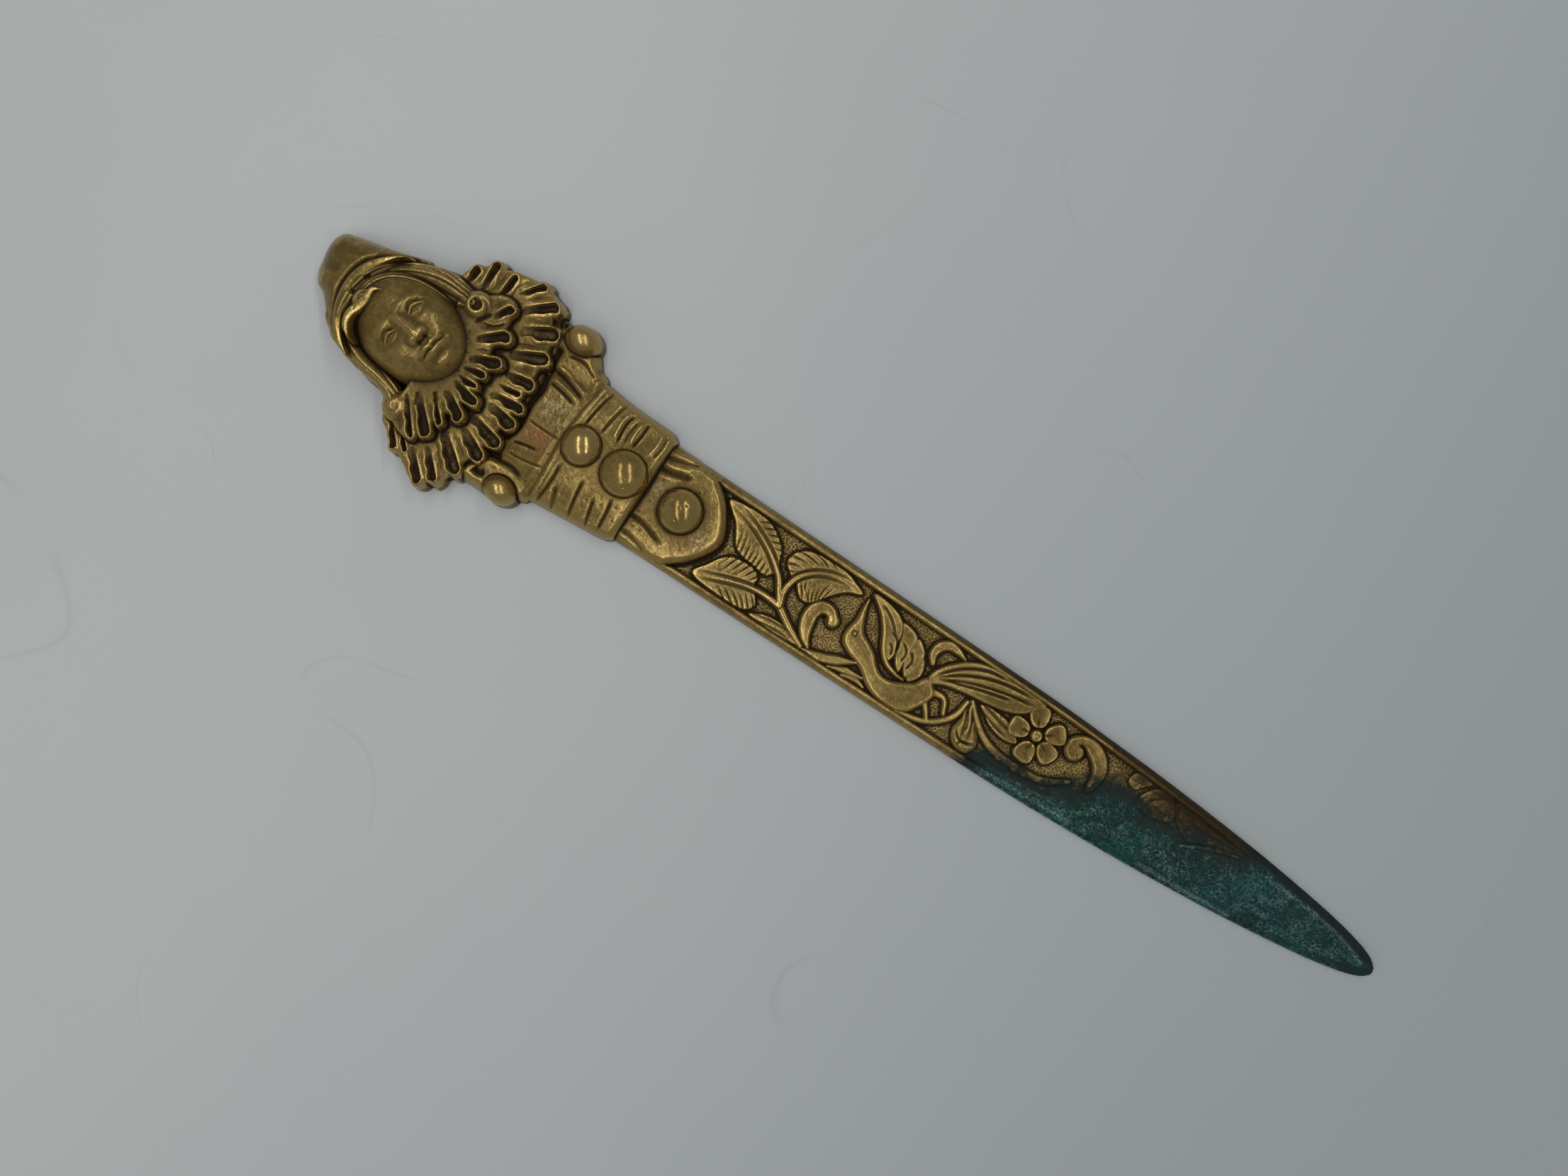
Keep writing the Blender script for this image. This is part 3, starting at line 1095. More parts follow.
def nearest_mark(size):
    """Distance to the nearest of many marks scattered about size apart."""
    across = int((mould_high[0] - mould_low[0]) / size) + 4
    along = int((mould_high[1] - mould_low[1]) / size) + 4
    dice = chance.uniform(0.08, 0.92, (2, across, along))
    u, v = (grid_x - mould_low[0]) / size + 1, (grid_y - mould_low[1]) / size + 1
    i, j = u.astype(int), v.astype(int)
    best = np.full(u.shape, 9.0)
    for di in (-1, 0, 1):
        for dj in (-1, 0, 1):
            a, b = np.clip(i + di, 0, across - 1), np.clip(j + dj, 0, along - 1)
            best = np.minimum(best, np.hypot(a + dice[0][a, b] - u, b + dice[1][a, b] - v))
    return best * size


def blur(field, radius):
    """The field averaged over a round-ish spot of that radius."""
    reach = max(1, int(round(radius / grid_pitch / 1.7)))
    for axis in (0, 1, 0, 1, 0, 1):
        padded = np.pad(field, [(reach + 1, reach) if a == axis else (0, 0) for a in (0, 1)], mode="edge")
        total = np.cumsum(padded, axis=axis)
        count = field.shape[axis]
        ahead = np.take(total, np.arange(2 * reach + 1, 2 * reach + 1 + count), axis=axis)
        behind = np.take(total, np.arange(0, count), axis=axis)
        field = (ahead - behind) / (2 * reach + 1)
    return field


print("a blur of 1 mm averages", 2 * round(1 / grid_pitch / 1.7) + 1, "spots each way")

# %% [markdown]
# Verdigris has eaten the tip: a blue-green crust covers the lower edge from the middle
# of the blade and the whole of the last third. Its border is drawn first, because the
# punch marks and the dirt fade where the crust begins.

# %% Border of the crust
crust_border = [
    (29.5, -11), (31.5, -7.5), (33.5, -5.6), (36, -4.6), (40, -4.7), (43, -4.4), (46, -3.5), (48, -2.6),
    (50, -1.2), (52, 0.9), (54, 2.5), (57, 3.4), (60, 3), (64, 1.9), (68, 2), (72, 2.5), (77, 3.8),
    (81, 5.2), (83, 6.8), (84, 10),
]
border_line = drawn(crust_border, relief_z)
from_crust = beside(everywhere, border_line)[0]
print("the crust begins", round(blade_tip - border_line[:, 0].min()), "mm from the tip")

# %% [markdown]
# The ground of the panel is matted with little punch marks, a few tenths of a
# millimetre across. A faint unevenness goes over everything, and the grip has small
# casting flaws. The face and the polished buttons are spared.

# %% Punch marks and casting flaws
waist = -26.0
punch_gap, punch_radius, punch_depth = 0.44, 0.22, 0.17
cast_roughness, flaw_depth = 0.012, 0.1
table_gap = 0.3

marks = nearest_mark(punch_gap)
panel_ground = ground * owned("blade")
fading = np.clip(0.6 + from_crust / 3, 0.2, 1)
height -= punch_depth * panel_ground * fading * unit(1 - (marks / punch_radius) ** 2)
metal_here = height > table_gap
rough_cast = cast_roughness * uneven(1.9) + cast_roughness * uneven(0.7) + cast_roughness * uneven(0.3)
flaws = bell(nearest_mark(2.1), 0.2 + 0.1 * uneven(1.7)) * (uneven(2.6) > 0.1) * (grid_x < waist)
flaws *= ~owned("head")
gloss = owned(*buttons).astype(float)
cast_skin = rough_cast * (1 - 0.85 * gloss) - flaw_depth * flaws + 0.05 * trough_floor * uneven(0.4)
height += np.where(metal_here, cast_skin, 0)
print("punch marks on", int(panel_ground.sum() * grid_pitch**2), "square mm of ground")

# %% [markdown]
# The crust has a ragged edge, and it is rough, so it is raised and pitted in the mould
# as well as coloured. Paint alone would look flat in a low light.

# %% Crust of verdigris
crust_starts = 20
crust_fade = 11.0
ragged = 0.9 * uneven(3.0) + 0.7 * uneven(1.1) + 0.35 * uneven(0.45)
crust = unit(0.5 - (from_crust + ragged) / crust_fade) * (grid_x > crust_starts)
blisters = 0.08 * uneven(0.5) + 0.06 * uneven(0.26) + 0.06 * uneven(1.1)
height += np.where(metal_here, unit(3 * crust - 0.6) * blisters, 0)
print("crust covers", int((crust * metal_here).sum() * grid_pitch**2), "square mm")

# %% [markdown]
# Grime settles in hollows and hands polish what stands proud. How deep a spot lies
# against the average round it tells the two apart, and doing it at three sizes
# catches both a hair line and the shadow under the chin.

# %% Hollows and heights
table_level = 0.2
face_height = np.where(metal_here, height, table_level)
grime = np.zeros(height.shape)
for size, weight in [(0.25, 2.2), (0.6, 0.75), (2, 0.25)]:
    grime += weight * (blur(face_height, size) - face_height)
print("deepest grime", round(float(grime[metal_here].max()), 2))

# %% [markdown]
# The blade has its own dirt. Its bevelled edge is dark with tarnish towards the tip,
# a brown stain goes over everything in front of the crust, and the relief grows duller
# along its length. A few pieces of the grip are duller than their neighbours too.

# %% Tarnish and brown stain
stain_starts, crust_edge = 50, 0.58
tarnish_level = 0.46
relief_starts = ("leaf_", "bird_", "blossom_", "scroll_")
relief_others = ("bud", "grass_leaves", "perch_twig", "spray_stem", "tip_leaves")
relief_names = [n for n in piece_names if n.startswith(relief_starts) or n in relief_others]
dullness = {
    "cap_crown": 0.16, "ruff_upper_tier": 0.17, "hair_left": 0.15, "hair_right": 0.06, "cap_band": 0.08,
    "panel_border": 0.05, "sash": -0.04,
}

bevel_wander = (0.25 * uneven(1.4) + 0.12 * uneven(0.5))[blade_spot] * rising(blade_x, 60, 80)
bevel_width = np.interp(blade_x, [-31, 20, 66, 90], [0.4, 0.95, 1.25, 2.2]) + bevel_wander
bevel_softness = np.interp(blade_x, [60, 80], [0.35, 0.8])
bevel = unit((bevel_width - blade_depth) / bevel_softness) * (blade_depth > -0.5)
bevel *= unit(blade_y + np.interp(blade_x, [96, 104], [0, 4]))
in_relief = owned(*relief_names).astype(float)
brown = np.interp(grid_x, [50, 58, 66, 80], [0, 0.16, 0.34, 0.46])
brown += np.clip((grid_x - 46) / 20, 0, 0.12) * (grid_y > 5)
brown *= unit((crust_edge - crust) * 6)
ridge = unit(-grime) * owned("tip_leaves")
stained = owned("blade", "panel_border", "tip_leaves") & (grid_x > stain_starts) & (crust < crust_edge)
grime = np.where(stained, np.maximum(grime, -0.1) + brown, grime)
grime += in_relief * np.interp(grid_x, [5, 20, 40], [0, 0.04, 0.16])
for name, dull in dullness.items():
    grime += dull * owned(name)
grime += panel_ground * (0.9 * blur(in_relief, 0.4) - 0.03) + 0.14 * trough_floor
grime *= 1 - 0.5 * unit(blur(gloss, 0.5) * 3) * (grime > 0)
inland = unit((blur(metal_here.astype(float), 0.8) - 0.6) / 0.3)
grime = np.where(grime > 0, grime * inland, grime)
tarnish = bevel * owned("blade", "panel_border", spot=blade_spot)
tarnish = tarnish * np.interp(blade_x, [-31, 0, 30], [0.05, 0.4, 0.95])
grime[blade_spot] += (tarnish_level - grime[blade_spot]) * tarnish
polish = unit(-grime * 0.9) * np.where(owned("panel_border"), 0.35, 1)
polish = np.maximum(polish, np.clip(2.0 * ridge, 0, 0.7))
grime = unit(grime)
print("mean grime and polish:", grime[metal_here].mean().round(3), polish[metal_here].mean().round(3))

# %% [markdown]
# Two stains are left by hand and by time: a coppery patch between the buttons, and
# pale dust in the quiet places and along the scraped streaks of the crust.

# %% Copper, dust and streaks
stain_z = 4.0
stain_edge = uneven(0.9)


def stain(*spots):
    """Soft round stains, each given by its middle and its two half widths."""
    field = np.zeros(height.shape)
    for x, y, long, wide in spots:
        off_long, off_wide = offsets(everywhere, seen((x, y), stain_z)[0])
        field = np.maximum(field, np.exp(-((off_long / long) ** 2 + (off_wide / wide) ** 2)))
    return unit(field * (1 + 0.5 * stain_edge))


copper = stain((-60.6, -2.3, 2.2, 1.5), (-59.5, -4.2, 1.2, 0.5))
dust = stain(
    (-61.0, 3.2, 2.6, 2.6), (-38.6, 1.2, 1.8, 2.0), (-28.3, -1.6, 1.4, 1.6), (-50.2, 0.6, 0.7, 1.6),
)
dust = np.maximum(dust, 0.45 * panel_ground * (crust < 0.42) * unit(0.5 + uneven(5.0)))
for wide, *streak in [
    (0.35, (86, 3.5), (92, 3.3), (97, 3), (101, 2.3), (104.5, 1.3), (107.6, 0.2)),
    (0.3, (66, -6.7), (75, -6.3), (84, -5.6)),
    (0.5, (33, -8), (42, -7.6), (52, -7.2)),
    (0.3, (34, -6.9), (40, -6.6), (46, -6.2)),
    (0.25, (70.6, -0.4), (74, 1.2), (77, 2.9), (80.6, 4.3)),
]:
    line = drawn(streak, relief_z)
    spot = window(line, 4 * wide)
    away = np.abs(beside(spot, line)[0]) + 0.3 * wide * stain_edge[spot]
    dust[spot] = np.maximum(dust[spot], bell(away, wide))
print("dust covers", int((dust * metal_here).sum() * grid_pitch**2), "square mm")

# %% [markdown]
# Now the mould is cut into its pieces. A cell of the grid goes to the piece that owns
# it. The edge of the casting would be a staircase, so the corners that lie on it slide
# along the slope to the line where the metal meets the table. Each piece gets its
# skin, a wall under its rim and a flat base, so that it is a closed solid by itself.

# %% Find the edge of the casting
least_steep = 0.25
most_shift = 0.6

cell_corners = [height[:-1, :-1], height[1:, :-1], height[:-1, 1:], height[1:, 1:]]
cell_solid = sum(cell_corners) / 4 > table_gap
slope_x, slope_y = np.gradient(height, grid_pitch)
skin = np.dstack([-slope_x, -slope_y, np.ones(height.shape)])
skin /= np.linalg.norm(skin, axis=2, keepdims=True)

corner_count = np.zeros(height.shape, int)
for di in (0, 1):
    for dj in (0, 1):
        corner_count[di:columns - 1 + di, dj:rows - 1 + dj] += cell_solid
on_edge = (corner_count > 0) & (corner_count < 4)
steep = np.maximum(slope_x**2 + slope_y**2, least_steep)
shift = np.clip((height - table_gap) / steep, -most_shift, most_shift)
place_x = np.where(on_edge, grid_x - np.clip(shift * slope_x, -grid_pitch, grid_pitch), grid_x)
place_y = np.where(on_edge, grid_y - np.clip(shift * slope_y, -grid_pitch, grid_pitch), grid_y)
place_z = np.where(on_edge, table_gap, height)
print("cells of metal:", int(cell_solid.sum()))

# %% [markdown]
# The grip and the blade each stand on a back plate. Cells that lie low go to the plate
# under them, and so do those that no form has claimed.

# %% Share the cells among the pieces
plate_top = 2.3
blade_floor = 1.2
waist_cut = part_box("figure_back")[1].x * per_metre
cell_owner = owner[:-1, :-1].copy()
cell_x = grid_x[:-1, :-1] + grid_pitch / 2
lowest = np.minimum.reduce(cell_corners)
in_figure = cell_solid & (cell_x < waist_cut)
in_blade = cell_solid & (cell_x >= waist_cut)
figure_back, blade = number("figure_back"), number("blade")
cell_owner[in_figure & (lowest < plate_top)] = figure_back
cell_owner[in_blade & (lowest < blade_floor)] = blade
cell_owner[in_blade & (cell_owner < 0)] = blade
cell_owner[in_figure & ((cell_owner < 0) | (cell_owner == blade))] = figure_back
sizes = {name: int((cell_solid & (cell_owner == k)).sum()) for k, name in enumerate(piece_names)}
print("smallest pieces, in cells:", sorted(sizes.items(), key=lambda item: item[1])[:6])

# %% [markdown]
# A piece becomes a mesh from its cells: four corners for each, a wall along its rim,
# and flat caps that follow the rim exactly, so that neighbours share every edge.

# %% Cut out one piece
weld = 1e-5


def rim_edges(cells):
    """The grid edges round a set of cells, each with the cells on its left hand."""
    padded = np.pad(cells, 1)
    edges = []
    for (di, dj), start, end in [
        ((0, -1), (0, 0), (1, 0)),
        ((1, 0), (1, 0), (1, 1)),
        ((0, 1), (1, 1), (0, 1)),
        ((-1, 0), (0, 1), (0, 0)),
    ]:
        beyond = padded[1 + di:padded.shape[0] - 1 + di, 1 + dj:padded.shape[1] - 1 + dj]
        i, j = np.nonzero(cells & ~beyond)
        a = (i + start[0]) * rows + j + start[1]
        b = (i + end[0]) * rows + j + end[1]
        edges.append(np.column_stack([a, b]))
    return np.vstack(edges)


class Solid:
    """Collects the corners and faces of one closed piece."""

    def __init__(self):
        self.points, self.faces, self.smooth = [], [], []
        self.sources, self.known = [], {}

    def corner(self, spot, level=None):
        """The number of a corner over a grid spot, on the skin or at a level."""
        key = (int(spot), level)
        if key not in self.known:
            i, j = divmod(int(spot), rows)
            z = place_z[i, j] if level is None else level
            self.known[key] = len(self.points)
            self.points.append((place_x[i, j], place_y[i, j], z))
            self.sources.append(spot)
        return self.known[key]

    def skin(self, cells):
        """Lays the skin over some cells."""
        i, j = np.nonzero(cells)
        first = i * rows + j
        corners = np.column_stack([first, first + rows, first + rows + 1, first + 1])
        spots, numbers = np.unique(corners, return_inverse=True)
        for n, spot in enumerate(spots):
            self.known[(int(spot), None)] = n
        a, b = np.divmod(spots, rows)
        self.points = list(zip(place_x[a, b], place_y[a, b], place_z[a, b]))
        self.sources = list(spots)
        self.faces = numbers.reshape(-1, 4).tolist()
        self.smooth = [True] * len(self.faces)

    def wall(self, edges, low, top=None):
        """Drops a wall from the skin, or from a level, along some edges."""
        for a, b in edges:
            quad = (a, top), (a, low), (b, low), (b, top)
            self.faces.append([self.corner(spot, level) for spot, level in quad])
            self.smooth.append(False)

    def cap(self, edges, level, upward):
        """Closes the ring of edges with a flat face."""
        spots = np.unique(edges)
        a, b = np.divmod(spots, rows)
        flat = [Vector((x, y)) for x, y in zip(place_x[a, b], place_y[a, b])]
        links = np.searchsorted(spots, edges).tolist()
        found = delaunay_2d_cdt(flat, links, [], 2, weld)
        for face in found[2]:
            numbers = [self.corner(spots[found[3][v][0]], level) for v in face if found[3][v]]
            if len(numbers) >= 3:
                self.faces.append(numbers if upward else numbers[::-1])
                self.smooth.append(False)


print("edges round the grip's plate and the blade's:", len(rim_edges(in_figure)), len(rim_edges(in_blade)))

# %% [markdown]
# Blender's own smoothing would round the walls with the skin, so the shading comes from
# the slopes of the mould. The fields for the finish ride along on the corners.

# %% Mesh with its shading
fields = {
    "grime": grime, "polish": polish, "crust": crust, "copper": copper, "dust": dust, "gloss": gloss,
}


def mesh_of(name, block):
    """A Blender object from a solid, with the mould's own slopes as its shading."""
    points = np.array(block.points, float)
    i, j = np.divmod(np.array(block.sources, int), rows)
    mesh = bpy.data.meshes.new(name)
    mesh.from_pydata((points / per_metre).tolist(), [], block.faces)
    for field_name, field in fields.items():
        layer = mesh.attributes.new(field_name, "FLOAT", "POINT")
        layer.data.foreach_set("value", field[i, j].astype(np.float32))
    mesh.polygons.foreach_set("use_smooth", block.smooth)
    mesh.update()
    corners = np.zeros(len(mesh.loops), int)
    mesh.loops.foreach_get("vertex_index", corners)
    totals = np.zeros(len(mesh.polygons), int)
    mesh.polygons.foreach_get("loop_total", totals)
    flat = np.zeros(len(mesh.polygons) * 3)
    mesh.polygons.foreach_get("normal", flat)
    flat = np.repeat(flat.reshape(-1, 3), totals, axis=0)
    rounded = np.repeat(np.array(block.smooth), totals)[:, None]
    mesh.normals_split_custom_set(np.where(rounded, skin[i, j][corners], flat).tolist())
    piece = bpy.data.objects.new(name, mesh)
    bpy.context.scene.collection.objects.link(piece)
    return piece


print("fields on every corner:", ", ".join(fields))

# %% [markdown]
# A back plate keeps a strip of skin round its edge and a flat lid under what stands on
# it. Every other piece is closed by a short wall and a flat base of its own.

# %% Close the pieces
lid_drop = 0.35
base_drop = 0.3
lowest_base = 0.2


def plate(name, whole, top):
    """A back plate: the strip of skin round its edge, a flat lid under the rest and a flat base."""
    strip = whole & (cell_owner == number(name))
    block = Solid()
    block.skin(strip)
    outer, inner = rim_edges(whole), rim_edges(strip)
    lid = top - lid_drop
    outer_keys, strip_keys = (set(map(tuple, edges.tolist())) for edges in (outer, inner))
    shared = np.array([tuple(edge) in outer_keys for edge in inner.tolist()])
    block.wall(inner[shared], 0.0)
    block.wall(inner[~shared], lid)
    bare = np.array([tuple(edge) not in strip_keys for edge in outer.tolist()])
    block.wall(outer[bare], 0.0, lid)
    block.cap(outer, 0.0, upward=False)
    block.cap(rim_edges(whole & ~strip), lid, upward=True)
    return mesh_of("cast_" + name, block)


def raised(name):
    """A piece of the face: its skin, a short wall below its rim and a flat base."""
    cells = cell_solid & (cell_owner == number(name))
    block = Solid()
    block.skin(cells)
    edges = rim_edges(cells)
    base = max(lowest_base, float(min(p[2] for p in block.points)) - base_drop)
    block.wall(edges, base)
    block.cap(edges, base, upward=False)
    return mesh_of("cast_" + name, block)


back_plates = {"figure_back": (in_figure, plate_top), "blade": (in_blade, blade_floor)}
pieces = {}
for name in piece_names:
    pieces[name] = plate(name, *back_plates[name]) if name in back_plates else raised(name)
print("faces:", sum(len(piece.data.polygons) for piece in pieces.values()))

# %% [markdown]
# Shader sums are easier to read as Python than as boxes and wires. A small class wraps
# one output of a node, so that adding two of them adds a Math node.

# %% Sums in shaders
class Wire:
    """One output of a shader node; sums and products of wires add Math nodes."""

    def __init__(self, tree, socket=None):
        self.tree, self.socket = tree, socket

    def node(self, kind, settings=None, inputs=None, output=0):
        """Adds a node of a kind, with its settings first and then what goes into it."""
        made = self.tree.nodes.new("ShaderNode" + kind)
        for key, value in (settings or {}).items():
            setattr(made, key, value)
        for key, value in (inputs or {}).items():
            if isinstance(value, Wire):
                self.tree.links.new(value.socket, made.inputs[key])
            else:
                made.inputs[key].default_value = value
        return Wire(self.tree, made.outputs[output])

    def math(self, operation, *values):
        """Adds a Math node."""
        return self.node("Math", {"operation": operation}, dict(enumerate(values)))

    def __add__(self, other):
        return self.math("ADD", self, other)

    def __radd__(self, other):
        return self.math("ADD", other, self)

    def __sub__(self, other):
        return self.math("SUBTRACT", self, other)

    def __rsub__(self, other):
        return self.math("SUBTRACT", other, self)

    def __mul__(self, other):
        return self.math("MULTIPLY", self, other)

    def __rmul__(self, other):
        return self.math("MULTIPLY", other, self)

    def between(self, low, high):
        """0 below low, 1 above high, and a soft step between them."""
        return self.node("MapRange", {"interpolation_type": "SMOOTHSTEP"}, {0: self, 1: low, 2: high})

    def blend(self, under, over):
        """One colour under another, with this wire as the cover."""
        return self.node("Mix", {"data_type": "RGBA"}, {0: self, 6: colour(under), 7: colour(over)}, 2)


def colour(value):
    """A colour as a node wants it: a wire as it is, three numbers with an alpha."""
    return value if isinstance(value, Wire) else (*value, 1)


print("a colour as a node wants it:", colour((0.4, 0.3, 0.1)))

# %% [markdown]
# Old brass is three finishes in one. Where hands rub it, it is yellow and bright;
# where they don't, a brown skin grows over it; and in the hollows sits dark grime that
# hardly shines at all. The tip wears a blue-green crust. All four are mixed by the
# fields that were measured on the mould, with a little noise to break them up.

# %% Colours of old brass
bright_brass = (0.43, 0.296, 0.103)
brown_patina = (0.122, 0.079, 0.0215)
dark_grime = (0.020, 0.0125, 0.0055)
red_copper = (0.24, 0.105, 0.045)
pale_dust = (0.40, 0.33, 0.19)
scorched = (0.0115, 0.0165, 0.0135)
crust_black = (0.0135, 0.0185, 0.0185)
crust_deep = (0.0060, 0.0165, 0.0155)
crust_blue = (0.0098, 0.054, 0.051)
crust_green = (0.0085, 0.058, 0.038)
crust_pale = (0.21, 0.34, 0.32)
print("bright brass is", bright_brass, "and its darkest grime", dark_grime)

# %% [markdown]
# One recipe makes all the finishes. It asks the mesh for its fields, lays the colours
# over each other from the bare metal up, and lets dirt and crust take the shine away.

# %% Aged brass
def aged_brass(name, shine):
    """Brass with grime in its hollows, polish on its heights and a crust at its tip."""
    material = bpy.data.materials.new(name)
    material.use_nodes = True
    tree = material.node_tree
    start = Wire(tree)
    place = start.node("TexCoord", output="Object")

    def field(called):
        """A field that the mesh carries."""
        return start.node("Attribute", {"attribute_name": called}, output="Fac")

    def cloud(scale, detail=3, rough=0.55):
        """Soft noise in the piece's own space."""
        inputs = {"Vector": place, "Scale": scale, "Detail": detail, "Roughness": rough}
        return start.node("TexNoise", None, inputs)

    dirt, rub, green = field("grime"), field("polish"), field("crust")
    patches, specks, fine = cloud(140), cloud(900, 2), cloud(3200, 2)
    mottle = patches * 0.7 + specks * 0.6 + fine * 0.5 - 0.38
    worn = (mottle + rub * 1.7 - dirt * 0.8 + shine).between(0.40, 1.15)
    brass = worn.blend(brown_patina, bright_brass)
    brass = (field("copper") * 0.75).blend(brass, red_copper)
    brass = (field("dust") * (fine * 0.6 + specks * 0.6).between(0.5, 0.8) * 0.7).blend(brass, pale_dust)
    soil = (dirt * 1.35 + specks * 0.35 + fine * 0.2 - 0.22).between(0.10, 0.80)
    metal = soil.blend(brass, dark_grime)
    dusk = (green + specks * 0.3 + fine * 0.16 - 0.23).between(0.28, 0.53)
    metal = dusk.blend(metal, scorched)
    flecks = (fine * 0.75 + specks * 0.45 + rub * 0.6 - dirt * 0.4).between(0.66, 0.94)
    swirl = cloud(1150, 1) - 0.5
    threads = (1 - (swirl * swirl * 330).between(0, 1)) * cloud(420, 2).between(0.44, 0.62)
    streaks = field("dust") * fine.between(0.35, 0.65)
    hue = cloud(60).between(0.40, 0.60).blend(crust_blue, crust_green)
    teal = (cloud(1700, 5, 0.65) * 0.7 + patches * 0.3 + rub * 0.4).between(0.42, 0.64)
    teal = teal.blend(crust_deep, hue)
    teal = ((1 - cloud(110, 2).between(0.38, 0.60)) * 0.5).blend(teal, crust_deep)
    teal = (flecks * 0.32 + threads * 0.18 + streaks * 0.36).blend(teal, crust_pale)
    teal = dirt.between(0.14, 0.5).blend(teal, crust_black)
    cover = (green + specks * 0.3 - 0.15).between(0.53, 0.90)
    roughness = 0.25 - worn * 0.04 + patches * 0.12 + soil * 0.3 - field("gloss") * 0.09
    shader = tree.nodes["Principled BSDF"]
    shader.inputs["Specular IOR Level"].default_value = 0.1
    tree.links.new(cover.blend(metal, teal).socket, shader.inputs["Base Color"])
    tree.links.new((roughness + dusk * 0.3).socket, shader.inputs["Roughness"])
    metallic = (0.5 + worn * 0.45) * (1 - soil * 0.7) * (1 - dusk * 0.95)
    tree.links.new(metallic.socket, shader.inputs["Metallic"])
    grain_height = (fine + specks) * (1 - field("gloss") * 0.8)
    grain = start.node("Bump", None, {"Strength": 0.3, "Distance": 0.00008, "Height": grain_height})
    tree.links.new(grain.socket, shader.inputs["Normal"])
    return material


shines = {"relief_brass": 0.03, "blade_brass": 0.0, "figure_brass": 0.0}
finishes = {slot: aged_brass(slot + "_aged", shine) for slot, shine in shines.items()}
print("finishes:", sorted(finishes))

# %% [markdown]
# Each mesh now gets its finish, and the frame is told which body it rides, which node
# it replaces and which slot its finish fills.

# %% Dress the pieces
for name, piece in pieces.items():
    slot = "figure_brass"
    if name in relief_names:
        slot = "relief_brass"
    elif name in ("blade", "panel_border"):
        slot = "blade_brass"
    piece.data.materials.append(finishes[slot])
    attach(piece, "root")
    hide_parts(name)
print("pieces dressed:", len(pieces))

# %% [markdown]
# The picture was taken from straight above with a phone's wide lens, with the opener
# lying across the frame at a slant. So the camera hangs over the same spot, turned by
# that slant.

# %% Camera
frame_slant = math.radians(33.4)
lens_data = bpy.data.cameras.new("overhead_lens")
lens_data.lens = 27.05
lens_data.sensor_width = 36.0
lens_data.clip_start = 0.005
camera = bpy.data.objects.new("overhead_camera", lens_data)
camera.location = (*(lens_over / per_metre), lens_height / per_metre)
camera.rotation_euler = (0, 0, frame_slant)
bpy.context.scene.collection.objects.link(camera)
bpy.context.scene.camera = camera
print("camera", round(lens_height), "mm above the table")

# %% [markdown]
# A pale painted table carries the opener. Its paint is a little darker towards the tip
# and has a few faint lines of lint.

# %% Table
table_half = 3.0
paint_light, paint_lighter = (0.385, 0.402, 0.398), (0.405, 0.420, 0.412)
paint_shade = (0.255, 0.276, 0.280)
lint_grey = (0.16, 0.155, 0.14)
lint_cover = 0.12

table_corners = [(x * table_half, y * table_half, 0) for x, y in ((-1, -1), (1, -1), (1, 1), (-1, 1))]
table_mesh = bpy.data.meshes.new("table_top")
table_mesh.from_pydata(table_corners, [], [(0, 1, 2, 3)])
table = bpy.data.objects.new("table_top", table_mesh)
bpy.context.scene.collection.objects.link(table)
paint = bpy.data.materials.new("table_paint")
paint.use_nodes = True
paint_start = Wire(paint.node_tree)
paint_place = paint_start.node("TexCoord", output="Object")


def paint_cloud(scale, detail):
    """Soft noise in the table's own space."""
    return paint_start.node("TexNoise", None, {"Vector": paint_place, "Scale": scale, "Detail": detail})


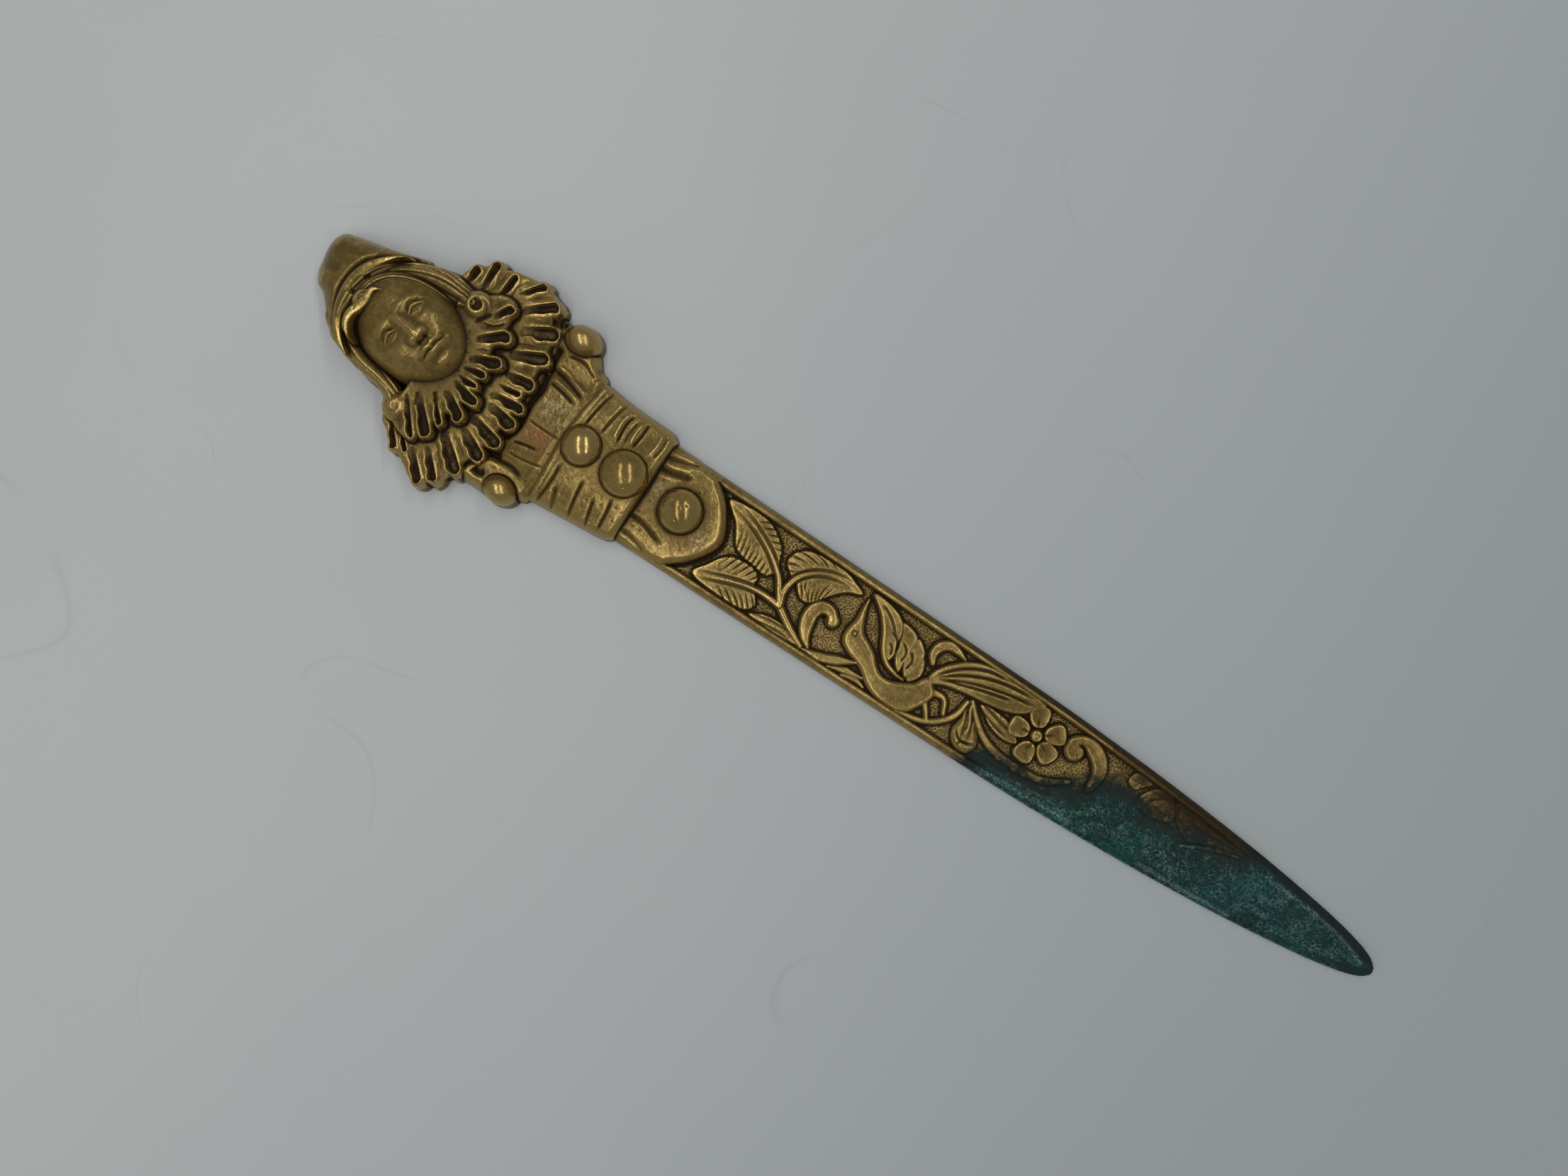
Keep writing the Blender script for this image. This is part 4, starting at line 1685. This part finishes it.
paint_fade = paint_start.node("SeparateXYZ", None, {"Vector": paint_place}).between(-0.13, 0.15)
paint_pale = paint_cloud(9, 5).between(0.3, 0.7).blend(paint_light, paint_lighter)
paint_flat = paint_fade.blend(paint_pale, paint_shade)
lint_noise = paint_cloud(16, 1) - 0.5
lint = 1 - lint_noise.math("ABSOLUTE", lint_noise).between(0, 0.0035)
lint = lint * paint_cloud(45, 1).between(0.52, 0.66)
paint_colour = (lint * lint_cover).blend(paint_flat, lint_grey)
paint_shader = paint.node_tree.nodes["Principled BSDF"]
paint.node_tree.links.new(paint_colour.socket, paint_shader.inputs["Base Color"])
paint_shader.inputs["Roughness"].default_value = 0.55
table_mesh.materials.append(paint)
print("table", 2 * table_half, "m square")

# %% [markdown]
# Two long tubes under the ceiling draw the thin double lights that every round button
# shows, and a broad soft light comes from the left. The room fills in the rest.

# %% Lamps and room
tube_size = (0.06, 2.6)
side_size = (2.2, 2.2)
room_colour = (0.93, 0.97, 1.0, 1)
room_strength = 0.28


def lamp(name, across, along, up, size, power):
    """A lamp turned to the opener, placed by how far right, ahead and up it hangs."""
    light = bpy.data.lights.new(name, "AREA")
    light.shape = "RECTANGLE"
    light.size, light.size_y = size
    light.energy = power
    right = Vector((math.cos(frame_slant), math.sin(frame_slant), 0))
    ahead = Vector((-math.sin(frame_slant), math.cos(frame_slant), 0))
    hung = bpy.data.objects.new(name, light)
    hung.location = right * across + ahead * along + Vector((0, 0, up))
    back = (hung.location - Vector((lens_over[0] / per_metre, 0, 0))).normalized()
    side = ahead.cross(back).normalized()
    hung.rotation_euler = Matrix((side, back.cross(side), back)).transposed().to_euler()
    bpy.context.scene.collection.objects.link(hung)
    return hung


lamp("ceiling_tube_near", -0.36, 0.1, 1.5, tube_size, 9.5)
lamp("ceiling_tube_far", 0.78, 0.1, 1.5, tube_size, 9.5)
side_light = lamp("window_left", -1.3, -0.3, 1.0, side_size, 13.3)
side_light.visible_glossy = False
world = bpy.data.worlds.new("room")
world.use_nodes = True
background = world.node_tree.nodes["Background"]
background.inputs["Color"].default_value = room_colour
background.inputs["Strength"].default_value = room_strength
bpy.context.scene.world = world
bpy.context.scene.view_settings.view_transform = "Standard"
print("lamps:", len(bpy.data.lights))
